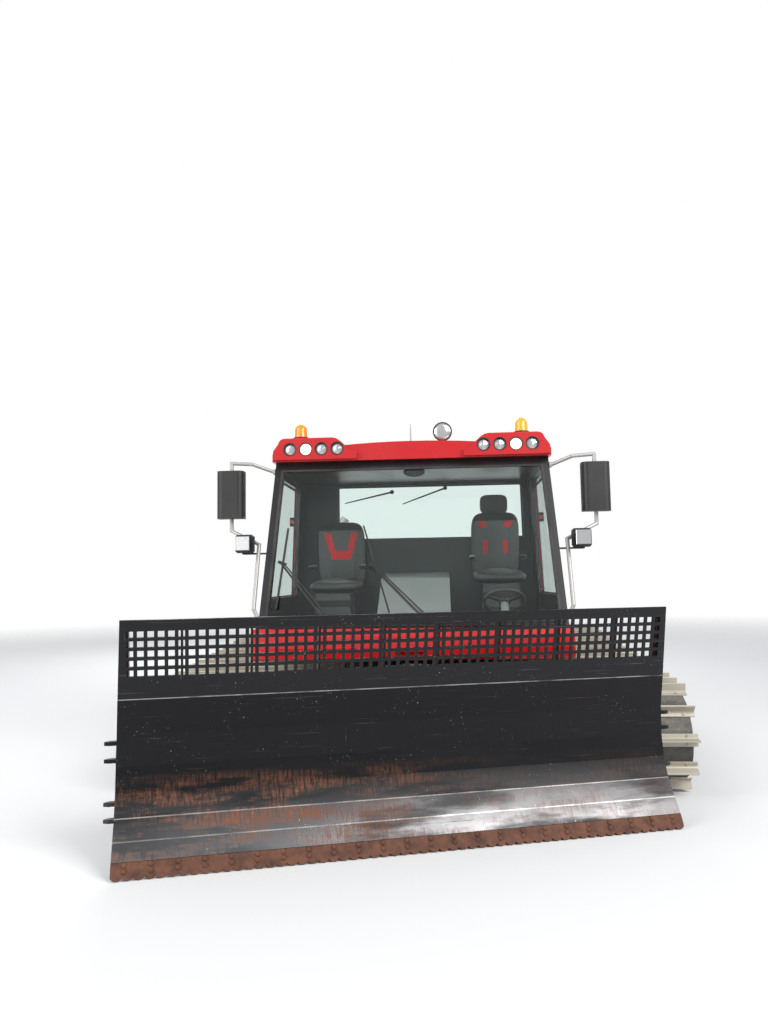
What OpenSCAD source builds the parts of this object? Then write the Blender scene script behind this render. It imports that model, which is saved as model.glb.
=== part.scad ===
// Tracked snow groomer: cab over two wide belt tracks, angling front blade, rear tiller.
// X runs across the machine, the front faces -Y, Z is up and the ground is Z = 0. Millimetres.

/* [Tracks] */
// Half of the width over both tracks
track_out = 2100; // [2000:10:2200]
// Width of one track
track_w = 1400; // [1300:10:1450]
// Radius of the rubber-tyred wheels
wheel_r = 310; // [290:5:320]
// Distance between neighbouring wheel axles
wheel_pitch = 660; // [655:5:700]
// Road wheels on each side, without the front idler
road_wheels = 4; // [3:1:4]
// Width of a wheel's tyre
tyre_w = 240; // [180:10:260]
// Axle height above the wheels' own, at the sprocket
sprocket_lift = 210; // [150:10:240]
// Distance from the last road wheel to the sprocket
sprocket_gap = 690; // [680:10:760]
// Pitch radius of the sprocket
sprocket_r = 325; // [300:5:340]
// Thickness of a rubber belt
belt_t = 12; // [10:1:16]
// Width of a rubber belt
belt_w = 280; // [240:10:300]
// Height of a cross bar
bar_h = 80; // [60:5:95]
// Cross bars on each track
bars = 42; // [36:1:46]
// Axle radius
axle_r = 45; // [35:1:55]

/* [Chassis] */
// Y of the front idler's axle
idler_y = -2230; // [-2280:5:-2180]
// Half of the chassis width
chassis_hw = 560; // [500:10:600]
// Underside of the chassis
chassis_z0 = 340; // [300:5:360]
// Height of the chassis beams
beam_h = 300; // [240:10:320]
// Width of a chassis beam
beam_w = 110; // [80:5:140]

/* [Cab] */
// Y of the windscreen's foot
screen_y = -2130; // [-2180:5:-2080]
// Y of the cab's rear wall
cab_rear_y = -360; // [-420:5:-300]
// Underside of the cab
cab_z0 = 960; // [950:5:990]
// Height of the windscreen's foot
sill_z = 1250; // [1200:5:1300]
// Top of the cab's walls
eaves_z = 2690; // [2600:5:2760]
// How far the windscreen's head lies behind its foot
screen_rake = 480; // [400:5:540]
// Half of the cab's width at the sill
cab_hw = 1270; // [1200:5:1290]
// Half of the cab's width at the eaves
eaves_hw = 1212; // [1150:2:1240]
// Thickness of the cab's walls and doors
wall = 50; // [40:1:60]
// Thickness of the glass
glass_t = 8; // [6:1:12]
// Gap round a door
door_gap = 6; // [5:1:10]
// Height of the roof's crown above the eaves
roof_h = 160; // [120:5:180]

/* [Blade] */
// Width of the blade at its cutting edge
blade_w = 3520; // [3300:20:3700]
// Height of the blade
blade_h = 1420; // [1360:10:1460]
// Thickness of the blade's plates
plate_t = 12; // [8:1:16]
// Angle that the blade is parked at
blade_angle = 16.6; // [10:0.2:22]
// Holes along the screen at the blade's top
screen_cols = 59; // [51:2:59]
// Rows of holes in the screen
screen_rows = 5; // [3:1:5]
// Distance between the screen's holes
hole_pitch = 57.8; // [54:0.1:58]
// Side of a square hole
hole_side = 37; // [30:1:42]
// Distance from the cutting edge back to the swing pin
swing_reach = 330; // [310:5:350]
// Y of the swing pin, behind the cutting edge
swing_y = -3430; // [-3460:5:-3410]
// Radius of the swing pin
swing_pin_r = 40; // [34:1:46]
// Width of one tooth of the cutting edge
tooth_w = 60; // [50:5:80]

/* [Cylinders] */
// Outer radius of a cylinder's barrel
barrel_r = 45; // [38:1:50]
// Radius of a piston rod
rod_r = 24; // [18:1:28]
// Radius of a cylinder's eye
eye_r = 46; // [40:1:52]
// Thickness of a cylinder's eye
eye_t = 60; // [50:2:70]
// Radius of a cylinder's pin
pin_r = 20; // [16:1:24]

/* [Rear] */
// Y of the rear body's end
deck_rear_y = 1640; // [1580:5:1700]
// Top of the engine housing
housing_z = 1560; // [1500:5:1620]
// Half of the rear body's width
housing_hw = 1200; // [1150:5:1240]
// Y of the tiller rotor
rotor_y = 3120; // [3080:5:3160]
// Height of the tiller rotor's axle
rotor_z = 255; // [250:1:270]
// Half of the tiller's width
tiller_hw = 2060; // [1960:10:2080]
// Radius of the rotor over its tines
rotor_r = 235; // [220:1:240]
// Tines round the rotor in one ring
tines = 6; // [4:1:8]

/* [Hidden] */
$fn = 32;

seat_gap = 0.3;              // gap where two pieces seat on each other
run_gap = 0.06;              // radial clearance of a pin or rod that moves in its bore
axle_z = bar_h + belt_t + wheel_r + seat_gap + 4;
belt_r = wheel_r + belt_t / 2 + seat_gap + 4;
last_wheel_y = idler_y + road_wheels * wheel_pitch;
sprocket_y = last_wheel_y + sprocket_gap;
sprocket_z = axle_z + sprocket_lift;
track_mid = track_out - track_w / 2;
screen_head_y = screen_y + screen_rake;
chassis_top = chassis_z0 + beam_h;
chassis_y0 = idler_y + 10;
chassis_y1 = deck_rear_y - 20;
// The comb reaches as far back as the blade's corner reaches forward
comb_y = blade_w / 2 * sin(blade_angle) + swing_reach * cos(blade_angle) - swing_y;

// Plain vector helpers
function unit(v) = v / norm(v);
function turned(p, a) = [p.x * cos(a) - p.y * sin(a), p.x * sin(a) + p.y * cos(a)];
function wrap(a) = a < 0 ? a + 360 : a;
// A convex outline, run anticlockwise, moved inwards by t
function inset(p, t) = [for (i = [0 : len(p) - 1]) let (
    n = len(p), u = unit(p[i] - p[(i + n - 1) % n]), v = unit(p[(i + 1) % n] - p[i]),
    a = [-u.y, u.x], b = [-v.y, v.x]) p[i] + (a + b) * t / (1 + a * b)];
// Points of an arc in degrees
function arc(c, r, a0, a1, n) = [for (i = [0 : n]) c + r * [cos(a0 + (a1 - a0) * i / n), sin(a0 + (a1 - a0) * i / n)]];

// Extrudes a side outline, given as (Y, Z), from X = x0 to X = x1
module across(x0, x1) translate([x0, 0, 0]) rotate([90, 0, 90]) linear_extrude(x1 - x0) children();
// Extrudes a front outline, given as (X, Z), from Y = y0 to Y = y1
module along(y0, y1) translate([0, y1, 0]) rotate([90, 0, 0]) linear_extrude(y1 - y0) children();
module both_sides() { children(); mirror([1, 0, 0]) children(); }
module box(a, b) translate(a) cube(b - a);
// A round bar from point a to point b
module facing(d) rotate([0, acos(d.z / norm(d)), atan2(d.y, d.x)]) children();
module rod_between(a, b, r) translate(a) facing(b - a) cylinder(h = norm(b - a), r = r);
// A bent tube: each bend gets a round joint, faced along the route or upright
module tube(route, r, faced = true) union() {
    for (i = [0 : len(route) - 2]) rod_between(route[i], route[i + 1], r);
    for (i = [1 : len(route) - 2]) translate(route[i])
        facing(faced ? unit(route[i] - route[i - 1]) + unit(route[i + 1] - route[i]) : [0, 0, 1]) sphere(r = r * 1.06);
}

// Track path: the belt's centre line round idler, last road wheel and sprocket, in (Y, Z)
track_circles = [[[idler_y, axle_z], belt_r], [[last_wheel_y, axle_z], belt_r], [[sprocket_y, sprocket_z], sprocket_r]];
function next(i) = (i + 1) % 3;
function tangent(i) = let (a = track_circles[i], b = track_circles[next(i)], d = b[0] - a[0])
    atan2(d.y, d.x) - acos((a[1] - b[1]) / norm(d));
tangents = [for (i = [0 : 2]) tangent(i)];
function span(i) = norm(track_circles[next(i)][0] - track_circles[i][0]
    + (track_circles[next(i)][1] - track_circles[i][1]) * [cos(tangents[i]), sin(tangents[i])]);
function turn_at(i) = wrap(tangents[i] - tangents[(i + 2) % 3]);
function bend(i) = track_circles[i][1] * turn_at(i) * PI / 180;
track_pieces = [span(0), bend(1), span(1), bend(2), span(2), bend(0)];
function total(v, n) = n == 0 ? 0 : v[n - 1] + total(v, n - 1);
track_length = total(track_pieces, 6);
function on_span(i, s) = [track_circles[i][0] + track_circles[i][1] * [cos(tangents[i]), sin(tangents[i])]
    + s * [-sin(tangents[i]), cos(tangents[i])], tangents[i]];
function on_bend(i, s) = let (a = tangents[(i + 2) % 3] + s / track_circles[i][1] * 180 / PI)
    [track_circles[i][0] + track_circles[i][1] * [cos(a), sin(a)], a];
// [point, direction of the outward normal] at the distance s along the track
function track_at(s, n = 0) = s <= track_pieces[n] || n == 5
    ? (n % 2 == 0 ? on_span(n / 2, s) : on_bend(((n + 1) / 2) % 3, s))
    : track_at(s - track_pieces[n], n + 1);
bar_places = [for (i = [0 : bars - 1]) track_at((i + 0.5) * track_length / bars)];
// The belt's outline has points only where it bends
belt_step = 15;
function bend_line(i, d) = let (n = ceil(turn_at(i) / belt_step), a0 = tangents[(i + 2) % 3])
    arc(track_circles[i][0], track_circles[i][1] + d, a0, a0 + turn_at(i), n);
function belt_line(d) = concat(bend_line(0, d), bend_line(1, d), bend_line(2, d));
bar_outline = [[-46, -3], [46, -3], [46, 8], [13, 14], [7, bar_h], [-7, bar_h], [-13, 14], [-46, 8]];
belt_offsets = [-1, 0, 1];
belt_pitch = (track_w - belt_w - 60) / 2;

module track() color("tan") union() {
    for (k = belt_offsets) across(track_mid + k * belt_pitch - belt_w / 2, track_mid + k * belt_pitch + belt_w / 2)
        difference() {
            polygon(belt_line(belt_t / 2));
            polygon(belt_line(-belt_t / 2));
        }
    for (p = bar_places) across(track_out - track_w, track_out)
        translate(p[0] + (belt_t / 2) * [cos(p[1]), sin(p[1])]) rotate(p[1] - 90) polygon(bar_outline);
}

// A rubber-tyred wheel on the X axis: tyre, dished rim and hub
wheel_outline = [[axle_r + seat_gap, -90], [axle_r + 30, -90], [axle_r + 30, -30], [wheel_r - 110, -30],
    [wheel_r - 90, -tyre_w / 2 + 15], [wheel_r - 70, -tyre_w / 2], [wheel_r - 14, -tyre_w / 2],
    [wheel_r, -tyre_w / 2 + 22], [wheel_r, tyre_w / 2 - 22], [wheel_r - 14, tyre_w / 2],
    [wheel_r - 70, tyre_w / 2], [wheel_r - 90, tyre_w / 2 - 15], [wheel_r - 110, -10], [axle_r + 30, -10],
    [axle_r + 30, 40], [axle_r + seat_gap, 40]];
module wheel() rotate([0, 90, 0]) difference() {
    rotate_extrude($fn = 48) polygon(wheel_outline);
    for (a = [0 : 60 : 300]) rotate(a) translate([130, 0, -40]) cylinder(h = 40, r = 28, $fn = 24);
}
wheel_ys = [for (i = [0 : road_wheels]) idler_y + i * wheel_pitch];
module road_wheels() color("dimgray") for (i = [1 : road_wheels]) translate([track_mid, wheel_ys[i], axle_z]) wheel();
module idlers() color("dimgray") both_sides() translate([track_mid, idler_y, axle_z]) wheel();

// The sprocket: a drum with toothed discs that reach up between the belts
sprocket_teeth = 12;
disc_x = belt_w / 2 + 50;
disc_root = sprocket_r - 40;
disc_tip = sprocket_r - belt_t / 2 - 2;
function tooth(i) = let (a = i * 360 / sprocket_teeth)
    [for (q = [[disc_root, -11], [disc_tip, -5], [disc_tip, 5], [disc_root, 11]]) q[0] * [cos(a + q[1]), sin(a + q[1])]];
module sprocket() difference() {
    union() {
        for (x = [-disc_x, disc_x]) across(x - 12, x + 12)
            polygon([for (i = [0 : sprocket_teeth - 1]) each tooth(i)]);
        rotate([0, 90, 0]) translate([0, 0, -disc_x - 90]) cylinder(h = disc_x * 2 + 180, r = 110);
    }
    rotate([0, 90, 0]) translate([0, 0, -tyre_w * 2]) cylinder(h = tyre_w * 4, r = axle_r + seat_gap);
}
module sprockets() color("gray") both_sides() translate([track_mid, sprocket_y, sprocket_z]) sprocket();

// Axles: stub axles on trailing arms that are bolted to the chassis side
arm_w = 60;
axle_end = track_mid + tyre_w / 2 + 60;
module trailing_arm(y, z) union() {
    translate([chassis_hw + arm_w, y, z]) rotate([0, 90, 0]) cylinder(h = axle_end - chassis_hw - arm_w, r = axle_r);
    difference() {
        across(chassis_hw, chassis_hw + arm_w) polygon(concat(
            arc([y, z], 80, 90, 250, 8), arc([y + 240, z + 70], 60, 270, 430, 8)));
        translate([chassis_hw - 1, y + 240, z + 70]) rotate([0, 90, 0]) cylinder(h = arm_w + 2, r = 25);
    }
}
module axles() color("darkslategray") both_sides() {
    for (y = wheel_ys) trailing_arm(y, axle_z);
    translate([chassis_hw, sprocket_y, sprocket_z]) rotate([0, 90, 0]) cylinder(h = axle_end - chassis_hw, r = axle_r);
    translate([chassis_hw, sprocket_y, sprocket_z]) rotate([0, 90, 0]) cylinder(h = 90, r = 150);
}

// Chassis: two box beams, cross members, belly plate, cab posts, and the brackets of both tools
lift_pivot = [idler_y - 60, 480];
lift_pivot_hw = track_out - track_w - 270;
tiller_pivot = [deck_rear_y + 60, 520];
tiller_pivot_hw = 330;
lift_barrel_pin = [idler_y + 60, 905];
tiller_barrel_pin = [deck_rear_y + 50, 900];
lug_t = 25;
tower_in = barrel_r + 10;
hinge_pin_r = 30;
tow_y = chassis_y1 + 80;
tow_zs = [chassis_z0, chassis_z0 + 75];
tow_r = 18;
cross_ys = [chassis_y0 + 60, idler_y + 260, idler_y + 700, idler_y + 1450, idler_y + 2200, idler_y + 2950, chassis_y1 - 60];
module ear(y, z, r, foot) polygon(concat(arc([y, z], r, foot - 90, foot + 90, 10),
    [[y, z] + r * [cos(foot + 90), sin(foot + 90)] + 130 * [cos(foot + 180), sin(foot + 180)],
     [y, z] + r * [cos(foot - 90), sin(foot - 90)] + 130 * [cos(foot + 180), sin(foot + 180)]]));
module pin_hole(x0, x1, p, r) translate([x0, p.x, p.y]) rotate([0, 90, 0]) cylinder(h = x1 - x0, r = r);
module chassis() color("darkslategray") difference() {
    union() {
        both_sides() box([chassis_hw - beam_w, chassis_y0, chassis_z0], [chassis_hw, chassis_y1, chassis_top]);
        for (y = cross_ys) box([-chassis_hw + 10, y - 50, chassis_z0 + 20], [chassis_hw - 10, y + 50, chassis_top - 20]);
        box([-chassis_hw + 20, chassis_y0 + 10, chassis_z0], [chassis_hw - 20, chassis_y1 - 10, chassis_z0 + 20]);
        both_sides() for (q = [[idler_y + 320, cab_z0], [cab_rear_y - 160, cab_z0], [cab_rear_y + 300, housing_z0], [deck_rear_y - 220, housing_z0]])
            box([chassis_hw - beam_w, q[0] - 45, chassis_top - 5], [chassis_hw, q[0] + 45, q[1]]);
        // front tower of the lift cylinder and the ears of the push frame
        both_sides() box([tower_in, chassis_y0, chassis_top - 120], [tower_in + lug_t, chassis_y0 + 200, cab_z0 - 90]);
        both_sides() across(tower_in, tower_in + lug_t) ear(lift_barrel_pin.x, lift_barrel_pin.y, 45, 120);
        both_sides() for (x = [lift_pivot_hw - 44 - lug_t, lift_pivot_hw + 44])
            across(x, x + lug_t) ear(lift_pivot.x, lift_pivot.y, 60, 180);
        // rear wall with the ears of the tiller frame
        for (z = tow_zs) box([-70, chassis_y1 - 20, z], [70, tow_y + 60, z + 25]);
        box([-tiller_pivot_hw - 80, chassis_y1 - 30, chassis_top - 20], [tiller_pivot_hw + 80, chassis_y1, cab_z0 + 20]);
        both_sides() for (x = [tiller_pivot_hw - 44 - lug_t, tiller_pivot_hw + 44])
            across(x, x + lug_t) ear(tiller_pivot.x, tiller_pivot.y, 60, 0);
        both_sides() across(tower_in, tower_in + lug_t) ear(tiller_barrel_pin.x, tiller_barrel_pin.y, 50, 0);
        pin_hole(-tower_in - lug_t - 12, tower_in + lug_t + 12, lift_barrel_pin, pin_r);
        pin_hole(-tower_in - lug_t - 12, tower_in + lug_t + 12, tiller_barrel_pin, pin_r);
    }
    translate([0, tow_y, tow_zs[0] - 1]) cylinder(h = 110, r = tow_r);
    both_sides() pin_hole(lift_pivot_hw - 100, lift_pivot_hw + 100, lift_pivot, hinge_pin_r + run_gap);
    both_sides() pin_hole(tiller_pivot_hw - 100, tiller_pivot_hw + 100, tiller_pivot, hinge_pin_r + run_gap);
}

// Cab: one solid outline in side and front view, from which walls, doors and glass are cut
cab_side = [[screen_y + 20, cab_z0], [cab_rear_y, cab_z0], [cab_rear_y, eaves_z], [screen_head_y, eaves_z],
    [screen_y, sill_z], [screen_y, cab_z0 + 100]];
cab_front = [[-cab_hw + 30, cab_z0], [cab_hw - 30, cab_z0], [cab_hw, cab_z0 + 60], [cab_hw, sill_z],
    [eaves_hw, eaves_z], [-eaves_hw, eaves_z], [-cab_hw, sill_z], [-cab_hw, cab_z0 + 60]];
module cab_solid(t) intersection() {
    across(-cab_hw - 10, cab_hw + 10) polygon(inset(cab_side, t));
    along(screen_y - 10, cab_rear_y + 10) polygon(inset(cab_front, t));
}
module cab_shell(t) difference() {
    cab_solid(0);
    cab_solid(t);
}
rake = screen_rake / (eaves_z - sill_z);
function behind_screen(z) = screen_y + rake * (z - sill_z);
door_rear_y = cab_rear_y - 260;
door_z0 = cab_z0 + 50;
door_z1 = eaves_z - 80;
door_front = 110;
door_outline = [[screen_y + door_front, door_z0], [door_rear_y, door_z0], [door_rear_y, door_z1],
    [behind_screen(door_z1) + door_front, door_z1], [behind_screen(sill_z) + door_front, sill_z]];
window_z0 = 1480;
window_z1 = door_z1 - 60;
window_outline = [[behind_screen(window_z0) + door_front + 75, window_z0], [door_rear_y - 75, window_z0],
    [door_rear_y - 75, window_z1], [behind_screen(window_z1) + door_front + 75, window_z1]];
screen_margin = 62;
screen_bottom = sill_z + 30;
screen_top = 78;
screen_outline = [[-cab_hw + screen_margin, screen_bottom], [cab_hw - screen_margin, screen_bottom],
    [eaves_hw - screen_margin, eaves_z - screen_top], [-eaves_hw + screen_margin, eaves_z - screen_top]];
rear_window_outline = [[-820, 2050], [1110, 2050], [1100, 2610], [-820, 2610]];

module side_cut(outline, side) across(side > 0 ? cab_hw * 0.7 : -cab_hw - 20, side > 0 ? cab_hw + 20 : -cab_hw * 0.7)
    polygon(outline);
module screen_cut() along(screen_y - 20, screen_head_y + wall * 2) polygon(screen_outline);
module rear_cut() along(cab_rear_y - wall - 20, cab_rear_y + 20) polygon(rear_window_outline);
// Door hinges: the door's strap turns on a pin between two lugs of the rear post
hinge_x = cab_hw + 12;
hinge_zs = [1370, 2220];
hinge_pin = 6;
knuckle_r = 13;
module leaf(z, h, y) translate([0, 0, z]) linear_extrude(h) polygon([[cab_x(z + h) - 12, door_rear_y + y],
    [cab_x(z + h) - 12, door_rear_y + sign(y) * 12], [hinge_x - 8, door_rear_y + sign(y) * 4], [hinge_x + 8, door_rear_y + sign(y) * 4],
    [cab_x(z + h) + 6, door_rear_y + y]]);
module knuckle(z, h) translate([hinge_x, door_rear_y, z]) cylinder(h = h, r = knuckle_r);
module cab_frame() color([0.1, 0.1, 0.12]) union() {
    difference() {
        cab_shell(wall);
        screen_cut();
        rear_cut();
        for (s = [1, -1]) side_cut(door_outline, s);
    }
    both_sides() for (z = hinge_zs) {
        for (k = [z - 31, z + 31]) {
            leaf(k, 30, 50);
            knuckle(k, 30);
        }
        translate([hinge_x, door_rear_y, z - 31]) cylinder(h = 92, r = hinge_pin);
    }
}
module windscreen() color([0.5, 0.7, 0.7, 0.4]) intersection() { cab_shell(glass_t); screen_cut(); }
module rear_window() color([0.5, 0.7, 0.7, 0.4]) intersection() { cab_shell(glass_t); rear_cut(); }
module door(s) color([0.85, 0.06, 0.08]) mirror([s < 0 ? 1 : 0, 0, 0]) difference() {
    union() {
        difference() {
            intersection() { cab_shell(wall); side_cut(inset(door_outline, door_gap), 1); }
            side_cut(window_outline, 1);
        }
        for (z = hinge_zs) {
            leaf(z, 30, -70);
            knuckle(z, 30);
        }
    }
    for (z = hinge_zs) translate([hinge_x, door_rear_y, z - 5]) cylinder(h = 40, r = hinge_pin + run_gap);
}
module door_glass(s) color([0.5, 0.7, 0.7, 0.4]) intersection() { cab_shell(glass_t); side_cut(window_outline, s); }

// Roof: a crowned lid with a raised lamp pod at each front corner
roof_front = screen_head_y - 70;
roof_rear = cab_rear_y + 40;
roof_hw = eaves_hw + 20;
lamp_xs = [645, 786, 927, 1068];
lamp_z = eaves_z + 105;
lamp_r = 52;
pod_in = 470;
pod_top_in = 650;
pod_z = eaves_z + 206;
crown_r = (roof_hw * roof_hw + 90 * 90) / 180;
roof_outline = concat([[-roof_hw, eaves_z], [roof_hw, eaves_z]],
    [for (i = [-8 : 8]) let (x = -i / 8 * roof_hw) [x, eaves_z + roof_h - crown_r + sqrt(crown_r * crown_r - x * x)]]);
pod_outline = concat([[pod_in, eaves_z + 12], [roof_hw - 10, eaves_z + 12], [roof_hw - 14, eaves_z + 90]],
    arc([roof_hw - 120, pod_z - 60], 60, 10, 90, 4),
    [for (i = [0 : 6]) let (u = i / 6) [pod_top_in + 40 - (pod_top_in + 40 - pod_in) * u,
        pod_z - (pod_z - eaves_z - 70) * (1 - cos(180 * u)) / 2]]);
pod_front = roof_front - 40;
pod_side = [[pod_front, eaves_z + 12], [roof_rear - 500, eaves_z + 12], [roof_rear - 500, eaves_z + 60],
    [pod_front + 520, pod_z - 50], [pod_front + 200, pod_z], [pod_front + 10, pod_z], [pod_front, pod_z - 14]];
module pod() intersection() {
    across(0, roof_hw) polygon(pod_side);
    along(pod_front - 10, roof_rear) polygon(pod_outline);
}
module roof() color([0.85, 0.06, 0.08]) difference() {
    union() {
        along(roof_front, roof_rear) polygon(roof_outline);
        both_sides() pod();
    }
    both_sides() for (x = lamp_xs) translate([x, pod_front - 1, lamp_z]) rotate([-90, 0, 0]) cylinder(h = 56, r = lamp_r + 8);
}
module roof_lamps() color("whitesmoke") both_sides() for (x = lamp_xs) translate([x, pod_front + 54.7, lamp_z])
    rotate([90, 0, 0]) rotate_extrude() polygon([[0, 0], [lamp_r, 0], [lamp_r, 30], [lamp_r - 6, 34], [0, 44]]);
beacon_x = 985;
beacon_y = pod_front + 120;
module beacons() color("orange") both_sides() translate([beacon_x, beacon_y, pod_z + 0.2])
    rotate_extrude() polygon(concat([[0, 0], [70, 0], [70, 18], [60, 22]], arc([0, 90], 56, 0, 90, 6)));

// Search lamp on its stalk, and the short aerial beside it
search_x = 290;
search_y = roof_front + 190;
search_z = eaves_z + roof_h + 110;
search_r = 86;
function crown(x) = eaves_z + roof_h - crown_r + sqrt(crown_r * crown_r - x * x);
module search_lamp() color("silver") {
    union() {
        translate([search_x, search_y + 45, crown(search_x - 40) + seat_gap]) cylinder(h = 18, r = 40);
        translate([search_x, search_y + 45, crown(search_x - 40) + 5]) cylinder(h = search_z - crown(search_x - 40) - 5, r = 10);
        translate([search_x, search_y, search_z]) rotate([-90, 0, 0]) rotate_extrude() polygon([[0, -4], [search_r - 8, 0],
            [search_r, 4], [search_r, 22], [search_r - 16, 60], [34, 88], [0, 88]]);
    }
    translate([0, search_y + 10, crown(0) + 0.2]) cylinder(h = 190, r1 = 8, r2 = 3, $fn = 16);
}

// Red nose below the windscreen, black cowl over it, louvred grille between the tracks
nose_hw = 1300;
nose_outline = concat([[screen_y - 0.2, cab_z0 + 20], [screen_y - 0.2, sill_z - 12], [screen_y - 30, sill_z - 12]],
    [[screen_y - 70, sill_z - 80], [screen_y - 84, sill_z - 170], [screen_y - 76, cab_z0 + 40], [screen_y - 50, cab_z0 + 20]]);
module front_panel() color([0.85, 0.06, 0.08]) difference() {
    across(-nose_hw, nose_hw) polygon(nose_outline);
    // recess that the blade's hoses and the lift cylinder work in
    box([-130, screen_y - 200, cab_z0], [130, screen_y - 40, cab_z0 + 90]);
}
cowl_hw = 1150;
module cowl() color([0.08, 0.08, 0.08]) across(-cowl_hw, cowl_hw) polygon([[screen_y - 34, sill_z - 11.8],
    [screen_y - 0.2, sill_z - 11.8], [screen_y - 0.2, sill_z + 10], [screen_y - 22, sill_z + 8], [screen_y - 40, sill_z]]);
grille_hw = 440;
grille_z0 = 660;
grille_y = idler_y + 230;
slats = 7;
module front_grille() color([0.08, 0.08, 0.08]) union() {
    for (x = [-1, 1]) box([x * (grille_hw - 15) - 15, grille_y, grille_z0], [x * (grille_hw - 15) + 15, grille_y + 55, cab_z0 - seat_gap]);
    for (i = [0 : slats - 1]) let (z = grille_z0 + (cab_z0 - 36 - grille_z0) * i / (slats - 1))
        across(-grille_hw + 5, grille_hw - 5) polygon([[grille_y + 4, z], [grille_y + 12, z], [grille_y + 48, z + 30], [grille_y + 40, z + 30]]);
    for (x = [-1, 1]) box([x * (grille_hw - 15) - 15, grille_y, chassis_top - 19.7], [x * (grille_hw - 15) + 15, grille_y + 55, grille_z0 + 5]);
}

// Seats: base, cushion, backrest and headrest, the driver's on a taller base
seat_w = 500;
floor_z = cab_z0 + wall;
module seat(x, base_h, head) translate([x, cab_rear_y - wall - 780, floor_z]) union() {
    box([-170, 60, 0.3], [170, 460, base_h]);
    across(-seat_w / 2, seat_w / 2) polygon([[0, base_h], [30, base_h + 20], [30, base_h + 90], [60, base_h + 130],
        [140, base_h + 135], [430, base_h + 105], [520, base_h + 105], [520, base_h]]);
    across(-seat_w / 2 + 10, seat_w / 2 - 10) polygon([[430, base_h + 60], [560, base_h + 60], [690, base_h + 600],
        [672, base_h + 700], [610, base_h + 712], [560, base_h + 640]]);
    for (s = [-1, 1]) box([s * 245 - 30, 130, base_h + 225], [s * 245 + 30, 520, base_h + 275]);
    if (head > 0) across(-140, 140) polygon([[600, base_h + 670], [680, base_h + 670], [690, base_h + 700 + head],
        [650, base_h + 720 + head], [600, base_h + 700 + head]]);
}
driver_x = 800;
passenger_x = -760;
module seat_driver() color("dimgray") seat(driver_x, 570, 190);
module seat_passenger() color("dimgray") seat(passenger_x, 500, 0);

// Console: dash along the windscreen's foot, and the tunnel between the seats
dash_hw = 1180;
dash_y = screen_y + wall + 22;
column_foot = [driver_x, screen_y + 390, sill_z + 20];
column_tilt = -35;
wheel_h = 210;
module console() color([0.2, 0.2, 0.2]) union() {
    across(-dash_hw, dash_hw) polygon([[dash_y, floor_z + 0.2], [dash_y + 280, floor_z + 0.2], [dash_y + 340, sill_z - 40],
        [dash_y + 300, sill_z], [dash_y + 40, sill_z + 10], [dash_y, sill_z - 20]]);
    across(-330, 330) polygon([[screen_y + 300, floor_z + 0.2], [cab_rear_y - wall - 0.3, floor_z + 0.2],
        [cab_rear_y - wall - 0.3, 1700], [cab_rear_y - 600, 1640], [screen_y + 800, 1420], [screen_y + 400, sill_z - 30],
        [screen_y + 300, sill_z - 60]]);
    translate(column_foot - [0, 0, 60]) rotate([column_tilt, 0, 0]) cylinder(h = wheel_h + 30, r = 34);
}
module steering_wheel() color([0.08, 0.08, 0.08]) translate(column_foot - [0, 0, 60]) rotate([column_tilt, 0, 0])
    translate([0, 0, wheel_h + 30.5]) union() {
        cylinder(h = 34, r = 48);
        translate([0, 0, 20]) rotate_extrude($fn = 48) translate([175, 0]) circle(r = 15, $fn = 16);
        for (a = [0, 120, 240]) rotate(a + 90) box([30, -14, 10], [170, 14, 26]);
    }

// Wipers: two linked arms each, from the cowl up to a long blade that lies on the glass
screen_lean = atan(rake);
module on_screen(x, up, off) translate([x, screen_y, sill_z]) rotate([-screen_lean, 0, 0]) translate([0, -off, up]) children();
module flat_bar(a, b, w, t) {
    d = b - a;
    translate([a.x, 0, a.y]) rotate([0, 90 - atan2(d.y, d.x) - 90, 0]) translate([0, -t, -w / 2]) cube([norm(d), t, w]);
}
module wiper(foot, tip, blade_a, blade_b) on_screen(0, 0, 14) union() {
    flat_bar(foot, tip, 18, 10);
    flat_bar(foot + [48, 0], tip + [34, -14], 12, 10);
    translate([foot.x, 13.7, foot.y]) rotate([90, 0, 0]) cylinder(h = 34, r = 17);
    translate([foot.x + 48, 13.7, foot.y]) rotate([90, 0, 0]) cylinder(h = 34, r = 13);
    flat_bar(tip + [-20, 8], tip + [50, -20], 24, 14);
    flat_bar(blade_a, blade_b, 14, 22);
}
module wipers() color([0.06, 0.06, 0.06]) {
    wiper([-700, 37], [-1110, 560], [-1060, 870], [-1120, 160]);
    wiper([120, 37], [-330, 520], [-405, 880], [-180, 110]);
}

// Mirror arms: one bent tube on each side from the roof corner round to the cab's foot
arm_r = 17;
mirror_w = 236;
mirror_h = 420;
mirror_z = 2394;
mirror_x = 1585;
function cab_x(z) = cab_hw - (cab_hw - eaves_hw) * (z - sill_z) / (eaves_z - sill_z);
arm_y = screen_head_y - 130;
foot_y = screen_y + 55;
foot_t = 14;
arm_route = [[cab_x(2610) + foot_t, arm_y + 110, 2610], [1400, arm_y, 2668], [mirror_x, arm_y, 2680],
    [mirror_x, arm_y, 2080], [1318, arm_y - 90, 1950], [1318, foot_y, 1400], [cab_x(1320) + foot_t + 3, foot_y, 1320]];
module arm_foot(y, z) translate([cab_x(z) + 1.6, y, z]) rotate([0, 90, 0]) cylinder(h = foot_t + 3, r = arm_r + 9);
module mirror_arms() color("silver") both_sides() union() {
    tube(arm_route, arm_r);
    arm_foot(arm_y + 110, 2610);
    arm_foot(foot_y, 1320);
}
module rounded(w, d, r) polygon(concat(arc([w / 2 - r, d - r], r, 0, 90, 4), arc([-w / 2 + r, d - r], r, 90, 180, 4),
    [[-w / 2, 0], [w / 2, 0]]));
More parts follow.
